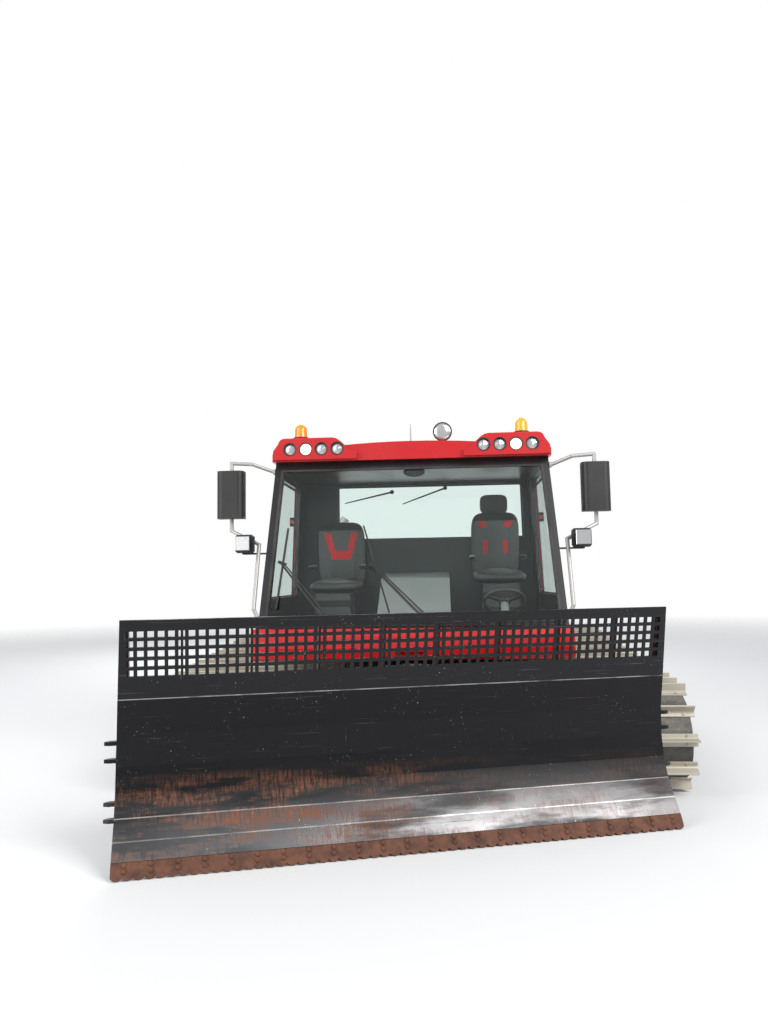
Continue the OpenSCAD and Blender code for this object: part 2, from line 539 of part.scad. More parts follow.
module mirror_heads() color([0.12, 0.12, 0.12]) both_sides() difference() {
    translate([mirror_x, arm_y + 32, mirror_z - mirror_h / 2]) mirror([0, 1, 0]) linear_extrude(mirror_h) rounded(mirror_w, 120, 50);
    translate([mirror_x, arm_y, mirror_z - mirror_h / 2 - 40]) cylinder(h = mirror_h + 90, r = arm_r + seat_gap);
    translate([mirror_x - mirror_w / 2 + 14, arm_y + 22, mirror_z - mirror_h / 2 + 14]) cube([mirror_w - 28, 12, mirror_h - 28]);
}
// Square work lamps on flat brackets, beside the cab's front pillars
lamp_box_x = 1425;
lamp_box_z = 1954;
lamp_box_s = 78;
lamp_box_y = arm_y - 190;
function bevelled(s, b) = [[s - b, s], [s, s - b], [s, b - s], [s - b, -s], [b - s, -s], [-s, b - s], [-s, s - b], [b - s, s]];
module side_lamps() color([0.1, 0.1, 0.1]) both_sides() difference() {
    union() {
        translate([lamp_box_x, lamp_box_y + 60, lamp_box_z]) rotate([90, 0, 0]) linear_extrude(60) polygon(bevelled(lamp_box_s, 16));
        translate([lamp_box_x, lamp_box_y + 58, lamp_box_z]) rotate([-90, 0, 0]) cylinder(h = 32, r1 = 60, r2 = 40);
        translate([0, 0, lamp_box_z - lamp_box_s - 12]) linear_extrude(14) polygon([[cab_x(1864) + 0.3, arm_y - 96], [1352, arm_y - 96],
            [1352, lamp_box_y + 30], [1450, lamp_box_y + 30], [1450, arm_y - 56], [cab_x(1864) + 0.3, arm_y - 56]]);
    }
    translate([lamp_box_x - 62, lamp_box_y - 1, lamp_box_z - 62]) cube([124, 13, 124]);
}

// Rear body: engine block, louvred housing, hinged lid, load deck, exhaust and lamps
engine_y0 = cab_rear_y + 120;
engine_y1 = engine_y0 + 1060;
housing_y0 = cab_rear_y + 20;
housing_y1 = housing_y0 + 1250;
housing_z0 = cab_z0 + 100;
louvre_n = 9;
module engine() color("gray") box([-330, engine_y0, chassis_top - 19.7], [330, engine_y1, 1350]);
lid_axis = [housing_y0 + 22, housing_z + 12];
module engine_housing() color([0.12, 0.12, 0.13]) difference() {
    union() {
        box([-housing_hw, housing_y0, housing_z0], [housing_hw, housing_y1, housing_z - 30]);
        // knuckles and pins that the lid turns on
        for (x = [-890, -695, 670, 865]) box([x, lid_axis.x - 12, housing_z - 40], [x + 25, lid_axis.x + 12, lid_axis.y + 12]);
        for (x = [-890, 670]) translate([x, lid_axis.x, lid_axis.y]) rotate([0, 90, 0]) cylinder(h = 220, r = 9);
    }
    box([-housing_hw + 40, housing_y0 + 40, housing_z0 + 25], [housing_hw - 40, housing_y1 - 40, housing_z - 30 + 1]);
    box([-345, engine_y0 - 15, housing_z0 - 1], [345, engine_y1 + 15, housing_z0 + 26]);
    for (i = [0 : louvre_n - 1]) let (y = housing_y0 + 150 + i * 108)
        box([-housing_hw - 1, y, housing_z0 + 120], [housing_hw + 1, y + 62, housing_z - 130]);
}
module engine_lid() color([0.85, 0.06, 0.08]) union() {
    difference() {
        box([-housing_hw, lid_axis.x + 22, housing_z - 24], [housing_hw, housing_y1, housing_z + 6]);
        for (i = [0 : 6]) box([-600, housing_y0 + 300 + i * 90, housing_z - 40], [600, housing_y0 + 340 + i * 90, housing_z + 10]);
    }
    both_sides() difference() {
        union() {
            translate([700, lid_axis.x, lid_axis.y]) rotate([0, 90, 0]) cylinder(h = 160, r = 18);
            box([700, lid_axis.x, lid_axis.y - 17], [860, lid_axis.x + 60, lid_axis.y - 7]);
        }
        translate([690, lid_axis.x, lid_axis.y]) rotate([0, 90, 0]) cylinder(h = 180, r = 9 + run_gap);
    }
}
deck_z = housing_z0 + 80;
rail_h = 330;
hole_xs = [-500, 500];
hole_ys = [housing_y1 + 130, housing_y1 + 530];
hole_r = 9;
module load_deck() color([0.15, 0.15, 0.16]) difference() {
    deck();
    for (x = hole_xs) for (y = hole_ys) translate([x, y, deck_z - 61]) cylinder(h = 80, r = hole_r);
}
post_ys = [housing_y1 + 40, deck_rear_y - 60];
module deck() union() {
    box([-housing_hw, housing_y1 + 6, deck_z - 60], [housing_hw, deck_rear_y, deck_z]);
    both_sides() box([chassis_hw - beam_w + 10, housing_y1 + 6, housing_z0 + seat_gap], [chassis_hw + 60, deck_rear_y, deck_z - 55]);
    both_sides() for (y = post_ys) box([housing_hw - 60, y - 20, deck_z - 10], [housing_hw - 20, y + 20, deck_z + rail_h]);
    for (z = [0.5, 1]) {
        both_sides() box([housing_hw - 60, housing_y1 + 20, deck_z + rail_h * z - 38], [housing_hw - 20, deck_rear_y - 40, deck_z + rail_h * z]);
        box([-housing_hw + 20, deck_rear_y - 80, deck_z + rail_h * z - 38], [housing_hw - 20, deck_rear_y - 40, deck_z + rail_h * z]);
    }
    for (y = [housing_y1 + 60 : 100 : deck_rear_y - 100]) box([-860, y, deck_z - 2], [housing_hw - 80, y + 30, deck_z + 8]);
}
stack_x = -housing_hw + 200;
stack_y = housing_y1 + 120;
module exhaust() color("gray") translate([stack_x, stack_y, deck_z + seat_gap]) union() {
    cylinder(h = 40, r = 80);
    translate([0, 0, 30]) cylinder(h = 820, r = 105);
    translate([0, 0, 840]) cylinder(h = 300, r = 52);
    translate([0, 0, 1130]) rotate([0, 35, 0]) cylinder(h = 150, r = 52);
}
module tail_lamps() color("red") both_sides() box([housing_hw - 330, deck_rear_y + seat_gap, deck_z - 58], [housing_hw - 60, deck_rear_y + 36, deck_z - 2]);

// Push frame: two arms between the tracks, joined at the nose that holds the swing pin
nose_z0 = 330;
nose_z1 = 640;
frame_arm_w = 76;
swing_barrel_x = track_out - track_w - 140;
bracket_in = barrel_r + 8;
swing_barrel_y = swing_y + 920;
swing_z = 485;
lift_rod_pin = [swing_y + 380, 640];
block_y = swing_y + 460;
module push_frame() color([0.1, 0.1, 0.1]) difference() {
    union() {
        both_sides() {
            across(lift_pivot_hw - frame_arm_w / 2, lift_pivot_hw + frame_arm_w / 2) polygon(concat(
                arc(lift_pivot, 56, -90, 90, 8), [[swing_y + 420, 590], [swing_y + 330, 590], [swing_y + 330, 380], [swing_y + 420, 380]]));
        }
        box([-lift_pivot_hw, block_y + 468, 536], [lift_pivot_hw, block_y + 512, 600]);
        both_sides() pin_hole(lift_pivot_hw - 72, lift_pivot_hw + 72, lift_pivot, hinge_pin_r);
        // nose plates, folded in from the arms to the swing pin
        for (z = [nose_z0 + 50, nose_z1 - 90]) translate([0, 0, z]) linear_extrude(40) polygon([
            [-lift_pivot_hw - frame_arm_w / 2, swing_y + 440], [-lift_pivot_hw - frame_arm_w / 2, swing_y + 330],
            [-110, swing_y + 60], [110, swing_y + 60], [lift_pivot_hw + frame_arm_w / 2, swing_y + 330],
            [lift_pivot_hw + frame_arm_w / 2, swing_y + 440]]);
        translate([0, swing_y, nose_z0 + 36]) cylinder(h = nose_z1 - nose_z0 - 72, r = swing_pin_r + 40);
        box([-70, swing_y, nose_z0 + 50], [70, swing_y + 120, nose_z1 - 50]);
        // cross tube that carries the swing cylinders and the lift cylinder's rod
        box([-lift_pivot_hw, swing_y + 345, nose_z0 + 60], [lift_pivot_hw, swing_y + 430, nose_z1 - 60]);
        both_sides() across(eye_t / 2 + 8, eye_t / 2 + 8 + lug_t) polygon(concat(
            arc(lift_rod_pin, 52, 0, 180, 10), [[lift_rod_pin.x - 52, 560], [lift_rod_pin.x + 52, 560]]));
        // brackets outside the arms that the swing cylinders' pins stand in
        for (z = [swing_z - bracket_in - lug_t, swing_z + bracket_in]) both_sides()
            box([lift_pivot_hw, swing_barrel_y - 62, z], [swing_barrel_x + 60, swing_barrel_y + 62, z + lug_t]);
        both_sides() translate([swing_barrel_x, swing_barrel_y, swing_z - bracket_in - lug_t - 10]) cylinder(h = 2 * (bracket_in + lug_t + 10), r = pin_r);
        both_sides() box([lift_pivot_hw - 20, swing_barrel_y - 62, swing_z - bracket_in - lug_t], [lift_pivot_hw + 44, swing_barrel_y + 62, swing_z + bracket_in + lug_t]);
    }
    translate([0, swing_y, nose_z0]) cylinder(h = 400, r = swing_pin_r + run_gap);
}

// A double-acting cylinder along +Y: barrel with its eye at the origin, and its rod with an eye at the far end
module barrel(length) difference() {
    union() {
        rotate([0, 90, 0]) translate([0, 0, -eye_t / 2]) cylinder(h = eye_t, r = eye_r);
        translate([0, eye_r - 8, 0]) rotate([-90, 0, 0]) cylinder(h = length - eye_r + 8, r = barrel_r);
        translate([0, length - 34, 0]) rotate([-90, 0, 0]) cylinder(h = 34, r = barrel_r + 7);
    }
    rotate([0, 90, 0]) translate([0, 0, -eye_t]) cylinder(h = 2 * eye_t, r = pin_r + run_gap);
    translate([0, eye_r + 30, 0]) rotate([-90, 0, 0]) cylinder(h = length, r = rod_r + run_gap);
}
module piston(from, to, w) difference() {
    union() {
        translate([0, from, 0]) rotate([-90, 0, 0]) cylinder(h = to - from - 20, r = rod_r);
        translate([-w / 2, to, 0]) rotate([0, 90, 0]) cylinder(h = w, r = eye_r);
    }
    translate([-w, to, 0]) rotate([0, 90, 0]) cylinder(h = 2 * w, r = pin_r);
}

// Lift cylinder, between the chassis tower and the push frame
function angle_to(a, b) = atan2(b.y - a.y, b.x - a.x);
lift_len = norm(lift_rod_pin - lift_barrel_pin);
lift_barrel_len = 620;
lift_rod_len = 700;
module lift_place() translate([0, lift_barrel_pin.x, lift_barrel_pin.y])
    rotate([angle_to(lift_barrel_pin, lift_rod_pin), 0, 0]) children();
module lift_barrel() color([0.1, 0.1, 0.1]) lift_place() barrel(lift_barrel_len);
module lift_rod() color("silver") lift_place() piston(lift_len - lift_rod_len, lift_len, eye_t);

// Blade, drawn straight about its swing pin and then turned to its parked angle.
// Offsets are how far each bend lies behind the cutting edge's front.
bends = [[40, 90], [100, 180], [165, 290], [208, 420], [224, 565], [208, 750], [155, 960]];
lip = [50, blade_h];
function board_y(b) = b[0] - swing_reach;
edge_t = 26;
board_front = [for (b = bends) [board_y(b), b[1]]];
lean = atan2(bends[6][0] - lip[0], lip[1] - bends[6][1]);
half_bottom = blade_w / 2;
top_taper = 28;
half_top = half_bottom - top_taper;
module blade_frame() translate([0, swing_y, 0]) rotate(blade_angle) children();
function thick(p, t) = [for (i = [0 : len(p) - 1]) let (
    u = i == 0 ? unit(p[1] - p[0]) : i == len(p) - 1 ? unit(p[i] - p[i - 1]) : unit(unit(p[i] - p[i - 1]) + unit(p[i + 1] - p[i])))
    p[i] + t * [u.y, -u.x]];
board_back = thick(board_front, plate_t);
function reversed(v) = [for (i = [len(v) - 1 : -1 : 0]) v[i]];
ends_outline = [[-half_bottom, -10], [half_bottom, -10], [half_bottom, 600], [half_top, blade_h + 40],
    [-half_top, blade_h + 40], [-half_bottom, 600]];
rib_t = 12;
rib_xs = [-24, -17, -10, -3, 3, 10, 17, 24];
function top_line(z) = board_y(bends[6]) - (z - bends[6][1]) * tan(lean);
rib_outline = concat([for (p = board_front) p + [plate_t - 2, 0]],
    [[top_line(962) + plate_t + 1, 962], [top_line(lip[1] - 30) + plate_t + 1, lip[1] - 30], [board_y(lip) + 95, lip[1] - 40],
    [board_y(bends[6]) + 80, 960], [-26, 640], [-26, 330], [board_y(bends[1]) + 60, 120], [board_y(bends[0]) + 30, 92]]);
ear_z = [[nose_z0, nose_z0 + 28], [nose_z1 - 28, nose_z1]];
board_line = [for (b = bends) [b[1], board_y(b) + plate_t * 0.4]];
blade_pin_x = 620;
blade_pin_y = 30;
module blade_board() color([0.07, 0.07, 0.08]) blade_frame() difference() {
    union() {
        intersection() {
            union() {
                across(-half_bottom, half_bottom) polygon(concat(board_back, reversed(board_front)));
                // stiffening channels along the back
                for (s = [-1, 1]) box([min(s * 150, s * half_bottom), board_y(bends[3]) + 8, 380], [max(s * 150, s * half_bottom), -26, 392]);
                box([-half_bottom, board_y(bends[5]) + 8, 740], [half_bottom, board_y(bends[5]) + 78, 752]);
            }
            along(-swing_reach - 100, 100) polygon(ends_outline);
        }
        for (k = rib_xs) across(k * hole_pitch - rib_t / 2, k * hole_pitch + rib_t / 2) polygon(rib_outline);
        for (s = [-1, 1]) across(s * (half_top - 40) - rib_t / 2, s * (half_top - 40) + rib_t / 2) polygon(rib_outline);
        // hinge lugs for side wings at both ends
        for (s = [-1, 1]) for (z = [250, 345, 590, 690]) translate([0, 0, z]) linear_extrude(22)
            polygon([[s * (half_bottom - 150), board_y([232, 0])], [s * (half_bottom - 150), -40], [s * (half_bottom + 40), -62],
                [s * (half_bottom + 68), -88], [s * (half_bottom + 40), board_y([232, 0]) - 4]]);
        // swing ears, and the eyes' lugs of the swing cylinders
        for (z = ear_z) translate([0, 0, z[0]]) linear_extrude(z[1] - z[0]) polygon(concat(
            [[-260, lookup(z[0] + 14, board_line)], [260, lookup(z[0] + 14, board_line)]], arc([0, 0], 92, 0, 180, 10)));
        for (s = [-1, 1]) for (z = [swing_z - 36 - lug_t, swing_z + 36]) translate([0, 0, z]) linear_extrude(lug_t) polygon(concat(
            [[s * blade_pin_x - 100, lookup(z + lug_t / 2, board_line)], [s * blade_pin_x + 100, lookup(z + lug_t / 2, board_line)]], arc([s * blade_pin_x, blade_pin_y], 56, 0, 180, 10)));
        translate([0, 0, ear_z[0][0] - 12]) cylinder(h = ear_z[1][1] - ear_z[0][0] + 24, r = swing_pin_r);
    }
    for (s = [-1, 1]) translate([s * blade_pin_x, blade_pin_y, swing_z - 80]) cylinder(h = 160, r = pin_r + 2);
}

// The blade's top plate leans forward; its screen of square holes lies in the plate's own plane
top_len = norm([bends[6][0] - lip[0], lip[1] - bends[6][1]]);
row_top = top_len - 85;
function half_at(u) = half_bottom - top_taper * (bends[6][1] - 600 + u * cos(lean)) / (blade_h - 600);
module blade_screen() color([0.07, 0.07, 0.08]) blade_frame() translate([0, board_y(bends[6]), bends[6][1]]) rotate([lean, 0, 0]) {
    rotate([90, 0, 0]) translate([0, 0, -plate_t]) linear_extrude(plate_t) difference() {
        polygon([[-half_at(0), 0.3], [half_at(0), 0.3], [half_at(top_len), top_len], [-half_at(top_len), top_len]]);
        for (i = [0 : screen_cols - 1]) for (j = [0 : screen_rows - 1])
            translate([(i - (screen_cols - 1) / 2) * hole_pitch, row_top - j * hole_pitch]) square(hole_side, center = true);
    }
}
// Serrated cutting edge, bolted in front of the board's foot
teeth_n = floor(blade_w / tooth_w);
tooth_h = 16;
edge_len = norm([bends[0][0], bends[0][1]]);
edge_lean = atan2(bends[0][0], bends[0][1]);
function tooth_points(i) = let (x = -half_bottom + i * blade_w / teeth_n, w = blade_w / teeth_n)
    [[x, tooth_h], [x + w * 0.2, tooth_h * 0.3], [x + w * 0.4, 0], [x + w * 0.6, 0], [x + w * 0.8, tooth_h * 0.3]];
module cutting_edge() color("saddlebrown") blade_frame() translate([0, -swing_reach, 4]) rotate([-edge_lean, 0, 0])
    rotate([90, 0, 0]) translate([0, 0, -edge_t]) linear_extrude(edge_t) polygon(concat(
        [for (i = [0 : teeth_n - 1]) each tooth_points(i)],
        [[half_bottom, tooth_h], [half_bottom, edge_len - 6], [-half_bottom, edge_len - 6]]));

// Swing cylinders lie flat between the push frame and the blade's lugs
function blade_pin(s) = [0, swing_y] + turned([s * blade_pin_x, blade_pin_y], blade_angle);
module swing_place(s) {
    a = [s * swing_barrel_x, swing_barrel_y];
    translate([a.x, a.y, swing_z]) rotate(angle_to(a, blade_pin(s)) - 90) rotate([0, 90, 0]) children();
}
swing_barrel_len = 600;
swing_rod_len = 585;
function swing_len(s) = norm(blade_pin(s) - [s * swing_barrel_x, swing_barrel_y]);
module swing_barrel(s) color([0.1, 0.1, 0.1]) swing_place(s) barrel(swing_barrel_len);
module swing_rod(s) color("silver") swing_place(s) piston(swing_len(s) - swing_rod_len, swing_len(s), eye_t);

// Pressure hoses that loop over the push frame, each from a block on its cross tube
hose_r = 13;
hose_tops = [[-250, 880], [-205, 930], [-160, 900], [165, 920], [215, 870]];
function hose_route(x, top) = [[x, block_y, 540], [x, block_y + 60, 650], [x, block_y + 150, top - 40],
    [x, block_y + 280, top + 30], [x, block_y + 430, top - 30], [x, block_y + 490, top - 180], [x, block_y + 490, 600.3]];
module hose_block(x) box([x - 21, block_y - 19.7, 500], [x + 21, block_y + 22, 580]);
module hoses() color([0.05, 0.05, 0.05]) for (q = hose_tops) union() {
    hose_block(q[0]);
    tube(hose_route(q[0], q[1]), hose_r, false);
}

// Tiller frame: two arms from the chassis to the hood, with a mast for the cylinder
tiller_rod_pin = [deck_rear_y + 760, 700];
hood_r = 300;
frame_end = rotor_y - 120;
module tiller_frame() color([0.1, 0.1, 0.1]) union() {
        both_sides() across(tiller_pivot_hw - frame_arm_w / 2, tiller_pivot_hw + frame_arm_w / 2) polygon(concat(
            arc(tiller_pivot, 56, 90, 270, 8), [[tiller_rod_pin.x, 500], [frame_end - 2, 560], [frame_end - 2, 700], [tiller_rod_pin.x, 640]]));
        box([-tiller_pivot_hw, tiller_rod_pin.x - 60, 510], [tiller_pivot_hw, tiller_rod_pin.x + 60, 630]);
        box([-1300, frame_end - 110, 566], [1300, frame_end - 2, 694]);
        both_sides() across(eye_t / 2 + 8, eye_t / 2 + 8 + lug_t) polygon(concat(
            arc(tiller_rod_pin, 52, 0, 180, 10), [[tiller_rod_pin.x - 52, 600], [tiller_rod_pin.x + 52, 600]]));
        for (x = [-1200, -400, 400, 1200]) box([x - 20, frame_end - 30, rotor_z + hood_r - 10], [x + 20, frame_end - 2, 600]);
        both_sides() pin_hole(tiller_pivot_hw - 72, tiller_pivot_hw + 72, tiller_pivot, hinge_pin_r);
}
tiller_len = norm(tiller_rod_pin - tiller_barrel_pin);
tiller_barrel_len = 400;
tiller_rod_len = 450;
module tiller_place() translate([0, tiller_barrel_pin.x, tiller_barrel_pin.y])
    rotate([angle_to(tiller_barrel_pin, tiller_rod_pin), 0, 0]) children();
module tiller_barrel() color([0.1, 0.1, 0.1]) tiller_place() barrel(tiller_barrel_len);
module tiller_rod() color("silver") tiller_place() piston(tiller_len - tiller_rod_len, tiller_len, eye_t);

// Hood: a curved trough over the rotor, closed by an end plate on each side
hood_t = 10;
rotor_shaft_r = 40;
plate_end = 18;
module tiller_hood() color([0.85, 0.06, 0.08]) difference() {
    union() {
        across(-tiller_hw, tiller_hw) polygon(concat(arc([rotor_y, rotor_z], hood_r, -5, 170, 16),
            reversed(arc([rotor_y, rotor_z], hood_r - hood_t, -5, 170, 16))));
        both_sides() across(tiller_hw - plate_end, tiller_hw) polygon(concat(arc([rotor_y, rotor_z], hood_r, -5, 170, 16),
            [[rotor_y - hood_r + 60, 40], [rotor_y + hood_r - 60, 40]]));
        for (x = [-1200, -400, 400, 1200]) box([x - 40, frame_end - 1.7, rotor_z + 240], [x + 40, frame_end + 50, rotor_z + hood_r + 20]);
        both_sides() translate([tiller_hw, rotor_y, rotor_z]) rotate([0, 90, 0]) translate([0, 0, -60]) cylinder(h = 60, r = 80);
    }
    translate([-tiller_hw - 5, rotor_y, rotor_z]) rotate([0, 90, 0]) cylinder(h = 2 * tiller_hw + 10, r = rotor_shaft_r + run_gap);
}
rotor_ring = 24;
module tiller_rotor() color("gray") translate([0, rotor_y, rotor_z]) union() {
    translate([-tiller_hw + 70, 0, 0]) rotate([0, 90, 0]) cylinder(h = 2 * tiller_hw - 140, r = 95);
    translate([-tiller_hw + 6, 0, 0]) rotate([0, 90, 0]) cylinder(h = 2 * tiller_hw - 12, r = rotor_shaft_r);
    for (k = [0 : rotor_ring - 1]) let (x = -tiller_hw + 150 + k * (2 * tiller_hw - 300) / (rotor_ring - 1))
        for (i = [0 : tines - 1]) rotate([k * 13 + i * 360 / tines, 0, 0]) across(x - 8, x + 8)
            polygon([[-18, 80], [18, 80], [10, rotor_r - 30], [2, rotor_r], [-6, rotor_r - 30]]);
}
// Finishing comb: a flexible mat behind the hood with ribs that draw the piste's cords
comb_line = concat([[rotor_y + hood_r + 7.9, rotor_z + 40], [rotor_y + hood_r + 120, rotor_z - 40]],
    [[rotor_y + hood_r + 330, 92], [comb_y - 250, 36], [comb_y, 24]]);
comb_t = 16;
comb_ribs = 40;
module finishing_comb() color([0.1, 0.1, 0.1]) union() {
    across(-tiller_hw + 20, tiller_hw - 20) polygon(concat(thick(comb_line, comb_t), reversed(comb_line)));
    for (i = [0 : comb_ribs - 1]) let (x = -tiller_hw + 60 + i * (2 * tiller_hw - 120) / (comb_ribs - 1))
        across(x - 14, x + 14) polygon([[comb_line[2].x, 84], [comb_line[2].x, 66], [comb_line[3].x, 8],
            [comb_y - 1, 4], [comb_y - 1, 14], [comb_line[3].x, 26]]);
}

chassis();
front_grille();
front_panel();
cowl();
track();  // track_left
mirror([1, 0, 0]) track();  // track_right
road_wheels();  // road_wheels_left
mirror([1, 0, 0]) road_wheels();  // road_wheels_right
idlers();
sprockets();
axles();
cab_frame();
roof();
windscreen();
rear_window();
door(1);  // door_left
door(-1);  // door_right
door_glass(1);  // door_glass_left
door_glass(-1);  // door_glass_right
seat_driver();
seat_passenger();
console();
steering_wheel();
wipers();
mirror_arms();
mirror_heads();
side_lamps();
roof_lamps();
beacons();
search_lamp();
engine();
engine_housing();
engine_lid();
load_deck();
exhaust();
tail_lamps();
push_frame();
lift_barrel();
lift_rod();
blade_board();
blade_screen();
cutting_edge();
swing_barrel(1);  // swing_barrels_left
swing_rod(1);  // swing_rod_left
swing_barrel(-1);  // swing_barrels_right
swing_rod(-1);  // swing_rod_right
hoses();
tiller_frame();
tiller_hood();
tiller_rotor();
finishing_comb();
tiller_barrel();
tiller_rod();
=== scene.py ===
"""The looks of a tracked snow groomer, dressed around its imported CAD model. Metres; front -Y, left +X."""
import math

import bmesh
import bpy
import numpy as np
from mathutils import Matrix, Vector


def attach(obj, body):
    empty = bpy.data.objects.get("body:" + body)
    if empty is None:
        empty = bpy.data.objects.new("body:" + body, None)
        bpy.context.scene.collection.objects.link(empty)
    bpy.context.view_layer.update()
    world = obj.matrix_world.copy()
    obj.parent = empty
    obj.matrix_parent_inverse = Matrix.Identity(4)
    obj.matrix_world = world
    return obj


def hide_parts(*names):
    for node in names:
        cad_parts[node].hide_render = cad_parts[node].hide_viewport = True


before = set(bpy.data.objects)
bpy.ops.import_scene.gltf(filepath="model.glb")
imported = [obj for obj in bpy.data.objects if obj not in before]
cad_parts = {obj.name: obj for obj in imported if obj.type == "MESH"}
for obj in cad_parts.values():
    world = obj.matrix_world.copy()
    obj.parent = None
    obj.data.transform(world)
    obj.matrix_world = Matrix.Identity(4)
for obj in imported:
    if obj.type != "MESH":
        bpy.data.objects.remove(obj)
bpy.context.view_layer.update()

# Chassis and axles
# A welded box-section frame of thick plate in satin black paint. Snow, grit and road dust
# leave a pale film on it, thickest where the plates face up.


def put(tree, kind, inputs=None, **settings):
    """One shader node; inputs hold values or the sockets that feed them."""
    made = tree.nodes.new(kind)
    for key, value in settings.items():
        setattr(made, key, value)
    for key, value in (inputs or {}).items():
        if isinstance(value, bpy.types.NodeSocket):
            tree.links.new(value, made.inputs[key])
        else:
            made.inputs[key].default_value = value
    return made


def worked(tree, kind, *values, clamp=False):
    """One sum of a Math node over two or three values."""
    return put(tree, "ShaderNodeMath", dict(enumerate(values)), operation=kind, use_clamp=clamp).outputs[0]


def ranged(tree, value, low, high, to_low=0.0, to_high=1.0):
    """The value, with low to high spread over to_low to to_high and held at both ends."""
    span = {"Value": value, "From Min": low, "From Max": high, "To Min": to_low, "To Max": to_high}
    return put(tree, "ShaderNodeMapRange", span).outputs[0]


def mixed(tree, mask, first, second):
    """The first colour where the mask is 0, the second where it is 1: a Mix node numbers them 6 and 7."""
    return put(tree, "ShaderNodeMix", {0: mask, 6: first, 7: second}, data_type="RGBA").outputs[2]


def noise(tree, place, scale, detail=2.0, rough=0.5):
    """Cloudy noise between 0 and 1, around a half."""
    look = {"Vector": place, "Scale": scale, "Detail": detail, "Roughness": rough}
    return put(tree, "ShaderNodeTexNoise", look).outputs[0]


def place_of(tree):
    """The place of each point in metres: every piece's origin is the frame's."""
    return put(tree, "ShaderNodeTexCoord").outputs["Object"]


def split(tree, place):
    """The X, Y and Z of a place or direction."""
    return put(tree, "ShaderNodeSeparateXYZ", {0: place}).outputs


def effect(name, inputs, outputs):
    """An empty shader group with named inputs and outputs; a colour's default has four numbers."""
    tree = bpy.data.node_groups.new(name, "ShaderNodeTree")
    for label, value in inputs.items():
        kind = "NodeSocketColor" if isinstance(value, tuple) else "NodeSocketFloat"
        tree.interface.new_socket(label, in_out="INPUT", socket_type=kind).default_value = value
    for label, kind in outputs.items():
        tree.interface.new_socket(label, in_out="OUTPUT", socket_type=kind)
    return tree, put(tree, "NodeGroupInput").outputs, put(tree, "NodeGroupOutput").inputs


def make_dust_film():
    """Dust: paint and dust colours mixed by noise times how far the face looks up."""
    tree, given, out = effect(
        "Dust film",
        {"Paint": (0.5, 0.5, 0.5, 1), "Dust": (0.42, 0.38, 0.32, 1), "Amount": 0.3, "Gloss": 0.3},
        {"Color": "NodeSocketColor", "Roughness": "NodeSocketFloat"},
    )
    place = place_of(tree)
    facing = split(tree, put(tree, "ShaderNodeNewGeometry").outputs["Normal"])["Z"]
    patches = ranged(tree, noise(tree, place, 2.6, 8.0, 0.62), 0.35, 0.75)
    upward = ranged(tree, facing, -0.2, 1.0, 0.35, 1.0)
    grains = ranged(tree, noise(tree, place, 55.0, 3.0), 0.3, 0.8, 0.5, 1.0)
    mask = worked(tree, "MULTIPLY", worked(tree, "MULTIPLY", patches, upward), grains)
    mask = worked(tree, "MULTIPLY", mask, given["Amount"], clamp=True)
    tree.links.new(mixed(tree, mask, given["Paint"], given["Dust"]), out["Color"])
    tree.links.new(ranged(tree, mask, 0.0, 1.0, given["Gloss"], 0.85), out["Roughness"])
    return tree


dust_film = make_dust_film()


def surfaced(name, constants):
    """A material with its tree and its surface, whose sockets take these constants."""
    made = bpy.data.materials.new(name)
    made.use_nodes = True
    surface = made.node_tree.nodes["Principled BSDF"]
    for label, value in constants.items():
        surface.inputs[label].default_value = value
    return made, made.node_tree, surface


def relieved(tree, surface, height, strength, distance):
    """Fine relief, too small for the mesh, on the surface's normal."""
    relief = put(tree, "ShaderNodeBump", {"Height": height, "Strength": strength, "Distance": distance})
    tree.links.new(relief.outputs[0], surface.inputs["Normal"])


def dusted(name, colour, gloss, amount, coat=0.0, metallic=0.0, grain=0.0, grain_scale=400.0):
    """A paint or plastic under a film of dust, with a fine moulded grain if asked."""
    made, tree, surface = surfaced(name, {"Metallic": metallic, "Coat Weight": coat, "Coat Roughness": 0.06})
    film = put(tree, "ShaderNodeGroup", node_tree=dust_film)
    film.inputs["Paint"].default_value = (*colour, 1)
    film.inputs["Amount"].default_value = amount
    film.inputs["Gloss"].default_value = gloss
    tree.links.new(film.outputs["Color"], surface.inputs["Base Color"])
    tree.links.new(film.outputs["Roughness"], surface.inputs["Roughness"])
    if grain:
        relieved(tree, surface, noise(tree, place_of(tree), grain_scale), grain, 0.001)
    return made


def finish_nodes(material, *names):
    """The CAD nodes take this material as they are."""
    for name in names:
        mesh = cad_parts[name].data
        mesh.materials.clear()
        mesh.materials.append(material)


black_paint = dusted("satin black paint", (0.022, 0.022, 0.024), 0.42, 0.55, grain=0.15, grain_scale=120.0)
grey_machine = dusted("dark machine grey", (0.09, 0.09, 0.095), 0.5, 0.6,
                      metallic=0.3, grain=0.3, grain_scale=90.0)
finish_nodes(black_paint, "chassis", "front_grille", "axles", "push_frame", "tiller_frame", "load_deck",
             "engine_housing")
finish_nodes(grey_machine, "engine", "sprockets")

# Tracks
# Extruded aluminium cross bars are bolted through three reinforced rubber belts.
# The bars wear to a beige grey under a film of dust.
sides = ((1, "left"), (-1, "right"))


